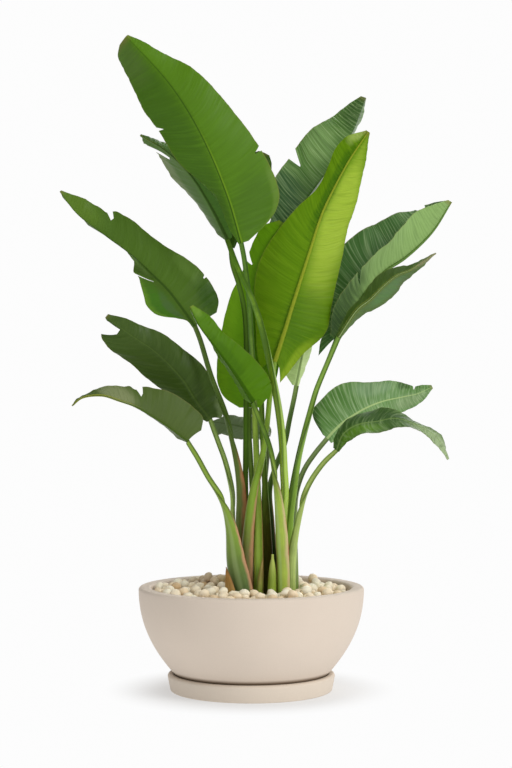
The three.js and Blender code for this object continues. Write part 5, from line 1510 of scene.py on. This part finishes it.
def drop_stones(count, draw):
    """Middle and radius of every stone, in millimetres, in the order in which they fall."""
    limit = inside_of_bowl(FILL_HEIGHT) - 1
    stones = np.zeros((0, 4))
    while len(stones) < count:
        radius = STONE_RADIUS * draw.uniform(*SIZE_SPREAD)
        best = None
        for _ in range(PLACES_TRIED):
            reach = (limit - radius) * math.sqrt(draw.uniform())
            turn = draw.uniform(0, 2 * math.pi)
            x, y = reach * math.cos(turn), reach * math.sin(turn)
            if distance_out(x, y) < radius * FROM_CLUMP:
                continue
            rest = BED_HEIGHT / STONE_FLATNESS + radius * ABOVE_BED
            if len(stones):
                away2 = (stones[:, 0] - x) ** 2 + (stones[:, 1] - y) ** 2
                touch = (stones[:, 3] + radius) * NEARNESS
                near = away2 < touch ** 2
                if near.any():
                    lifted = stones[near, 2] + np.sqrt(touch[near] ** 2 - away2[near])
                    rest = max(rest, lifted.max())
            heap = HEAP_RISE * math.exp(-((x - HEAP[0]) ** 2 + (y - HEAP[1]) ** 2) / HEAP_SPREAD ** 2)
            score = rest - heap
            if best is None or score < best[0]:
                best = (score, x, y, rest, radius)
        if best:
            stones = np.vstack([stones, best[1:]])
    stones[:, 2] *= STONE_FLATNESS
    return stones


draw = np.random.default_rng(14)
STONES = drop_stones(STONE_COUNT, draw)
print("stones:", len(STONES), "highest middle:", round(STONES[:, 2].max(), 1), "mm")

# %% [markdown]
# A pebble is round, a little flat and never even. An icosphere has its faces spread evenly, so
# four of them are pressed in from five random sides each, and every copy is turned and leant by
# chance. Each copy keeps a random number as an attribute, for its colour.

# %% Modelling four stones and copying them
STONE_SHAPES = 4
DENTS, DENT_DEPTH = 5, 0.16
LEAN = 0.28


def stone_shape(seed):
    """One uneven stone of radius 1, and its corners."""
    bpy.ops.object.select_all(action="DESELECT")
    bpy.ops.mesh.primitive_ico_sphere_add(subdivisions=2, radius=1)
    obj = bpy.context.object
    bpy.ops.object.shade_smooth()
    corners = np.zeros(len(obj.data.vertices) * 3)
    obj.data.vertices.foreach_get("co", corners)
    corners = corners.reshape(-1, 3)
    local = np.random.default_rng(seed)
    for _ in range(DENTS):
        way = unit(local.normal(size=3))
        corners = corners * (1 - DENT_DEPTH * smoothstep(corners @ way, 0.35, 1.0))[:, None]
    corners = corners * (1.08, 0.97, STONE_FLATNESS)
    obj.data.vertices.foreach_set("co", corners.ravel())
    return obj, corners


def turning(axis, angle):
    """The matrix of a turn round the X, Y or Z axis, which are 0, 1 and 2."""
    a, b = (axis + 1) % 3, (axis + 2) % 3
    matrix = np.eye(3)
    matrix[[a, b], [a, b]] = math.cos(angle)
    matrix[a, b], matrix[b, a] = -math.sin(angle), math.sin(angle)
    return matrix


shapes = [stone_shape(seed) for seed in range(STONE_SHAPES)]
faces = [np.array([p.vertices[:] for p in obj.data.polygons]) for obj, _ in shapes]
points, triangles, shade = [], [], []
offset = 0
for index, (x, y, z, radius) in enumerate(STONES):
    _, corners = shapes[index % STONE_SHAPES]
    spin, roll, pitch = draw.uniform(0, 2 * math.pi), draw.normal() * LEAN, draw.normal() * LEAN
    turn = turning(2, spin) @ turning(0, roll) @ turning(1, pitch)
    points.append(corners * radius @ turn.T + (x, y, z))
    triangles.append(faces[index % STONE_SHAPES] + offset)
    shade += [draw.uniform()] * len(corners)
    offset += len(corners)
for obj, _ in shapes:
    bpy.data.objects.remove(obj)
stone_points, stone_faces = np.vstack(points) * MM, np.vstack(triangles)
print("faces of all stones:", len(stone_faces))

# %% [markdown]
# The bed under the stones is one closed disc with the clump's opening in it, also uneven, so
# that no flat ground shows between the stones. It is laid out as rings, from the opening out to
# the bowl and back underneath. Bed and stones become one piece, because the solids have them as
# one.

# %% Bed and stones as one piece
BED_AROUND = 96
BED_RINGS = 14
BED_RIPPLE = 2.5
BED_FOOT = 169.0
GAP_TO_BOWL, GAP_TO_CLUMP = 0.6, 1.5


def bed_rings():
    """The bed's rings of points, in metres."""
    centre = OUTLINE.mean(axis=0)
    angles = np.linspace(0, 2 * math.pi, BED_AROUND + 1)[:-1]
    hole, rim = [], []
    outer = inside_of_bowl(BED_HEIGHT) - GAP_TO_BOWL
    for angle in angles:
        way = np.array([math.cos(angle), math.sin(angle)])
        low, high = 0.0, 200.0
        for _ in range(30):
            middle = (low + high) / 2
            inside = distance_out(*(centre + way * middle)) < GAP_TO_CLUMP
            low, high = (middle, high) if inside else (low, middle)
        hole.append(centre + way * low)
        b = centre @ way
        rim.append(centre + way * (-b + math.sqrt(b * b - centre @ centre + outer ** 2)))
    hole, rim = np.array(hole), np.array(rim)
    local = np.random.default_rng(3)
    rings = []
    for step in range(BED_RINGS + 1):
        height = np.full(BED_AROUND, BED_HEIGHT)
        if 0 < step < BED_RINGS:
            height += local.uniform(-BED_RIPPLE, BED_RIPPLE, BED_AROUND)
        rings.append(np.column_stack([hole + (rim - hole) * step / BED_RINGS, height]))
    foot = np.full(BED_AROUND, BED_FOOT)
    rings += [np.column_stack([rim, foot]), np.column_stack([hole, foot])]
    return np.array(rings) * MM


rings = bed_rings()
count, around = rings.shape[:2]
bed_faces = [(r * around + i, ((r + 1) % count) * around + i,
              ((r + 1) % count) * around + (i + 1) % around, r * around + (i + 1) % around)
             for r in range(count) for i in range(around)]
mesh = bpy.data.meshes.new("pebble_layer")
vertices = np.vstack([stone_points, rings.reshape(-1, 3)])
bed_faces = (np.array(bed_faces) + len(stone_points)).tolist()
mesh.from_pydata(vertices.tolist(), [], stone_faces.tolist() + bed_faces)
tone = mesh.attributes.new("tone", "FLOAT", "POINT")
tone.data.foreach_set("value", np.array(shade + [0.0] * (count * around)))
pebbles = bpy.data.objects.new("pebble_layer", mesh)
bpy.context.collection.objects.link(pebbles)
only(pebbles)
bpy.ops.object.mode_set(mode="EDIT")
bpy.ops.mesh.select_all(action="SELECT")
bpy.ops.mesh.normals_make_consistent(inside=False)
bpy.ops.object.mode_set(mode="OBJECT")
bpy.ops.object.shade_smooth()
print("pebble layer faces:", len(mesh.polygons))

# %% [markdown]
# Each stone is one tone between sand and near white, by its random number, and is faintly
# mottled. The stones of the heap are painted browner, as shade. Little light gets down between
# the stones, so painted shade darkens them towards the bed, and the bed's tone, below that of any
# stone, is painted shade as well.

# %% The finish of the stones
def stone_finish():
    finish = Finish("cream_stones")
    place = finish.place()
    tone = finish.attribute("tone")
    mottle = finish.noise(place, 90.0, 3.0, 0.6)
    height = finish.part(place, "Z")
    from_heap = finish.distance(place, (HEAP[0] * MM, HEAP[1] * MM, 0.2))
    grain = finish.noise(place, 600.0, 2.0, 0.6)
    base = finish.blend(tone, tint(246, 222, 184), tint(255, 249, 226))
    # The bed, of tone 0, is painted darker than any stone, as shade under the stones
    base = finish.blend(tone.above(0.0, 0.12), tint(206, 176, 132), base)
    # Painted shade: the stones of the heap are browner
    brown = (1 - from_heap.above(0.03, 0.07)) * tone.above(0.1, 0.5)
    base = finish.blend(brown * 0.6, base, tint(176, 146, 112))
    base = finish.blend((mottle - 0.35).clamped() * 0.6, base, tint(222, 192, 148))
    # Painted shade, darker towards the bed
    base = finish.blend((1 - height.above(0.182, 0.198)) * 0.9, base, tint(126, 96, 60))
    normal = finish.bump(grain * 0.4 + mottle * 0.6, 0.0008, 0.4)
    roughness = (mottle - 0.5) * 0.2 + 0.62
    return finish.surface(finish.skin(base, roughness, normal))


pebbles.data.materials.append(stone_finish())
stands_for(pebbles, "pebble_stone", "pebbles")
print("stone finish ready")

# %% [markdown]
# ## Soil and rootstock
# Both are nearly hidden by the stones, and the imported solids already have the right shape, so
# they stay and only get a finish: dark crumbs for the soil, dry fibres for the rootstock.

# %% The finish of soil and rootstock
def ground_finish(name, dark, light, scale, stretch):
    """Crumbs of a scale between two colours; a small stretch on an axis draws them into fibres."""
    finish = Finish(name)
    place = finish.add("ShaderNodeMapping", values={"Vector": finish.place(), "Scale": stretch})
    crumbs = finish.noise(place, scale, 4.0, 0.65)
    lumps = finish.noise(place, scale / 6, 2.0, 0.5)
    base = finish.blend(((crumbs - 0.5) * 1.6 + (lumps - 0.5) + 0.5).clamped(), dark, light)
    normal = finish.bump(crumbs * 0.6 + lumps * 0.6, 0.004, 0.8)
    roughness = crumbs * 0.2 + 0.78
    return finish.surface(finish.skin(base, roughness, normal))


GROUND = {
    "soil": ground_finish("crumbly_soil", tint(38, 28, 20), tint(92, 72, 54), 260.0, (1, 1, 1)),
    "rootstock": ground_finish("fibrous_root", tint(84, 62, 40), tint(160, 128, 88), 180.0, (1, 1, 0.2)),
}
for node, material in GROUND.items():
    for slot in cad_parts[node].material_slots:
        slot.material = material
print("ground finishes:", len(GROUND))

# %% [markdown]
# ## Studio
# The photograph has a white studio: a floor that runs up into a backdrop without an edge, large
# soft lights and a faint shadow round the saucer. The strongest light comes from the front
# right, and some from above and behind makes the leaves glow. The floor takes the shadow only
# near the saucer. Further out it shines by itself, as white as the sky, so that no edge shows.

# %% Floor and lights
WHITE = 0.98
SHADOW_FADES = (0.16, 0.3)


def studio_floor():
    bpy.ops.object.select_all(action="DESELECT")
    bpy.ops.mesh.primitive_plane_add(size=80, location=(0, 0, 0))
    obj = bpy.context.object
    obj.name = "studio_floor"
    finish = Finish("white_floor")
    matt = finish.add("ShaderNodeBsdfPrincipled", values={
        "Base Color": (0.42, 0.42, 0.42, 1), "Roughness": 1.0, "Specular IOR Level": 0.0,
        "Emission Color": (1, 1, 1, 1), "Emission Strength": 0.46})
    bright = finish.add("ShaderNodeEmission", values={"Strength": WHITE})
    far = finish.distance(finish.place()).above(*SHADOW_FADES)
    both = finish.add("ShaderNodeMixShader", values={0: far, 1: matt, 2: bright})
    obj.data.materials.append(finish.surface(both))


def soft_light(name, place, target, size, power):
    """A round light of a size in metres and a power in watts, turned towards a target."""
    data = bpy.data.lights.new(name, "AREA")
    data.shape = "DISK"
    data.size = size
    data.energy = power
    obj = bpy.data.objects.new(name, data)
    bpy.context.collection.objects.link(obj)
    way = np.array(target) - np.array(place)
    obj.location = place
    flat = math.hypot(way[0], way[1])
    obj.rotation_euler = (math.atan2(flat, -way[2]), 0, math.atan2(way[1], way[0]) - math.pi / 2)


studio_floor()
soft_light("key_front_right", (2.6, -2.2, 2.6), (0, 0, 0.6), 1.6, 60)
soft_light("top", (-0.3, -0.2, 3.6), (0, 0, 0.6), 1.8, 28)
soft_light("back", (0.8, 2.4, 2.2), (0, 0, 0.8), 1.6, 22)
print("floor and lights ready")

# %% [markdown]
# The sky lights the plant as a white room would: brightly all round, and less from overhead and
# from the left, which shades that side of the bowl. What the camera sees of it is white on every
# side, so that no view has a grey band above the floor.

# %% The sky
def studio_sky():
    sky = Finish("white_studio", world=True)
    way = sky.add("ShaderNodeTexCoord", output="Generated")
    overhead = sky.part(way, "Z").above(0.24, 0.55)
    from_left = 1 - sky.part(way, "X").above(-0.75, -0.2)
    light = (WHITE - overhead * 0.68) * (1 - from_left * 0.45)
    seen = sky.add("ShaderNodeLightPath", output="Is Camera Ray") * WHITE
    background = sky.add("ShaderNodeBackground", values={
        "Color": (1, 1, 1, 1), "Strength": light.maths("MAXIMUM", seen)})
    return sky.surface(background)


bpy.context.scene.world = studio_sky()
bpy.context.scene.view_settings.view_transform = "Standard"
print("sky ready")

# %% [markdown]
# The photograph was taken level, from about half the plant's height and from far enough away that
# the rim of the bowl is a narrow ellipse. So the camera stands 3.5 m back, isn't tilted, and a
# long lens brings the plant up to the size that it has in the picture.

# %% The camera
camera_data = bpy.data.cameras.new("camera")
camera_data.sensor_fit = "VERTICAL"
camera_data.sensor_height = 36
camera_data.lens = 82.03
camera = bpy.data.objects.new("camera", camera_data)
camera.location = (0.0094, -3.5, 0.61)
camera.rotation_euler = (math.pi / 2, 0, 0)
bpy.context.collection.objects.link(camera)
bpy.context.scene.camera = camera
print("camera:", camera.location[:], "lens:", camera_data.lens)
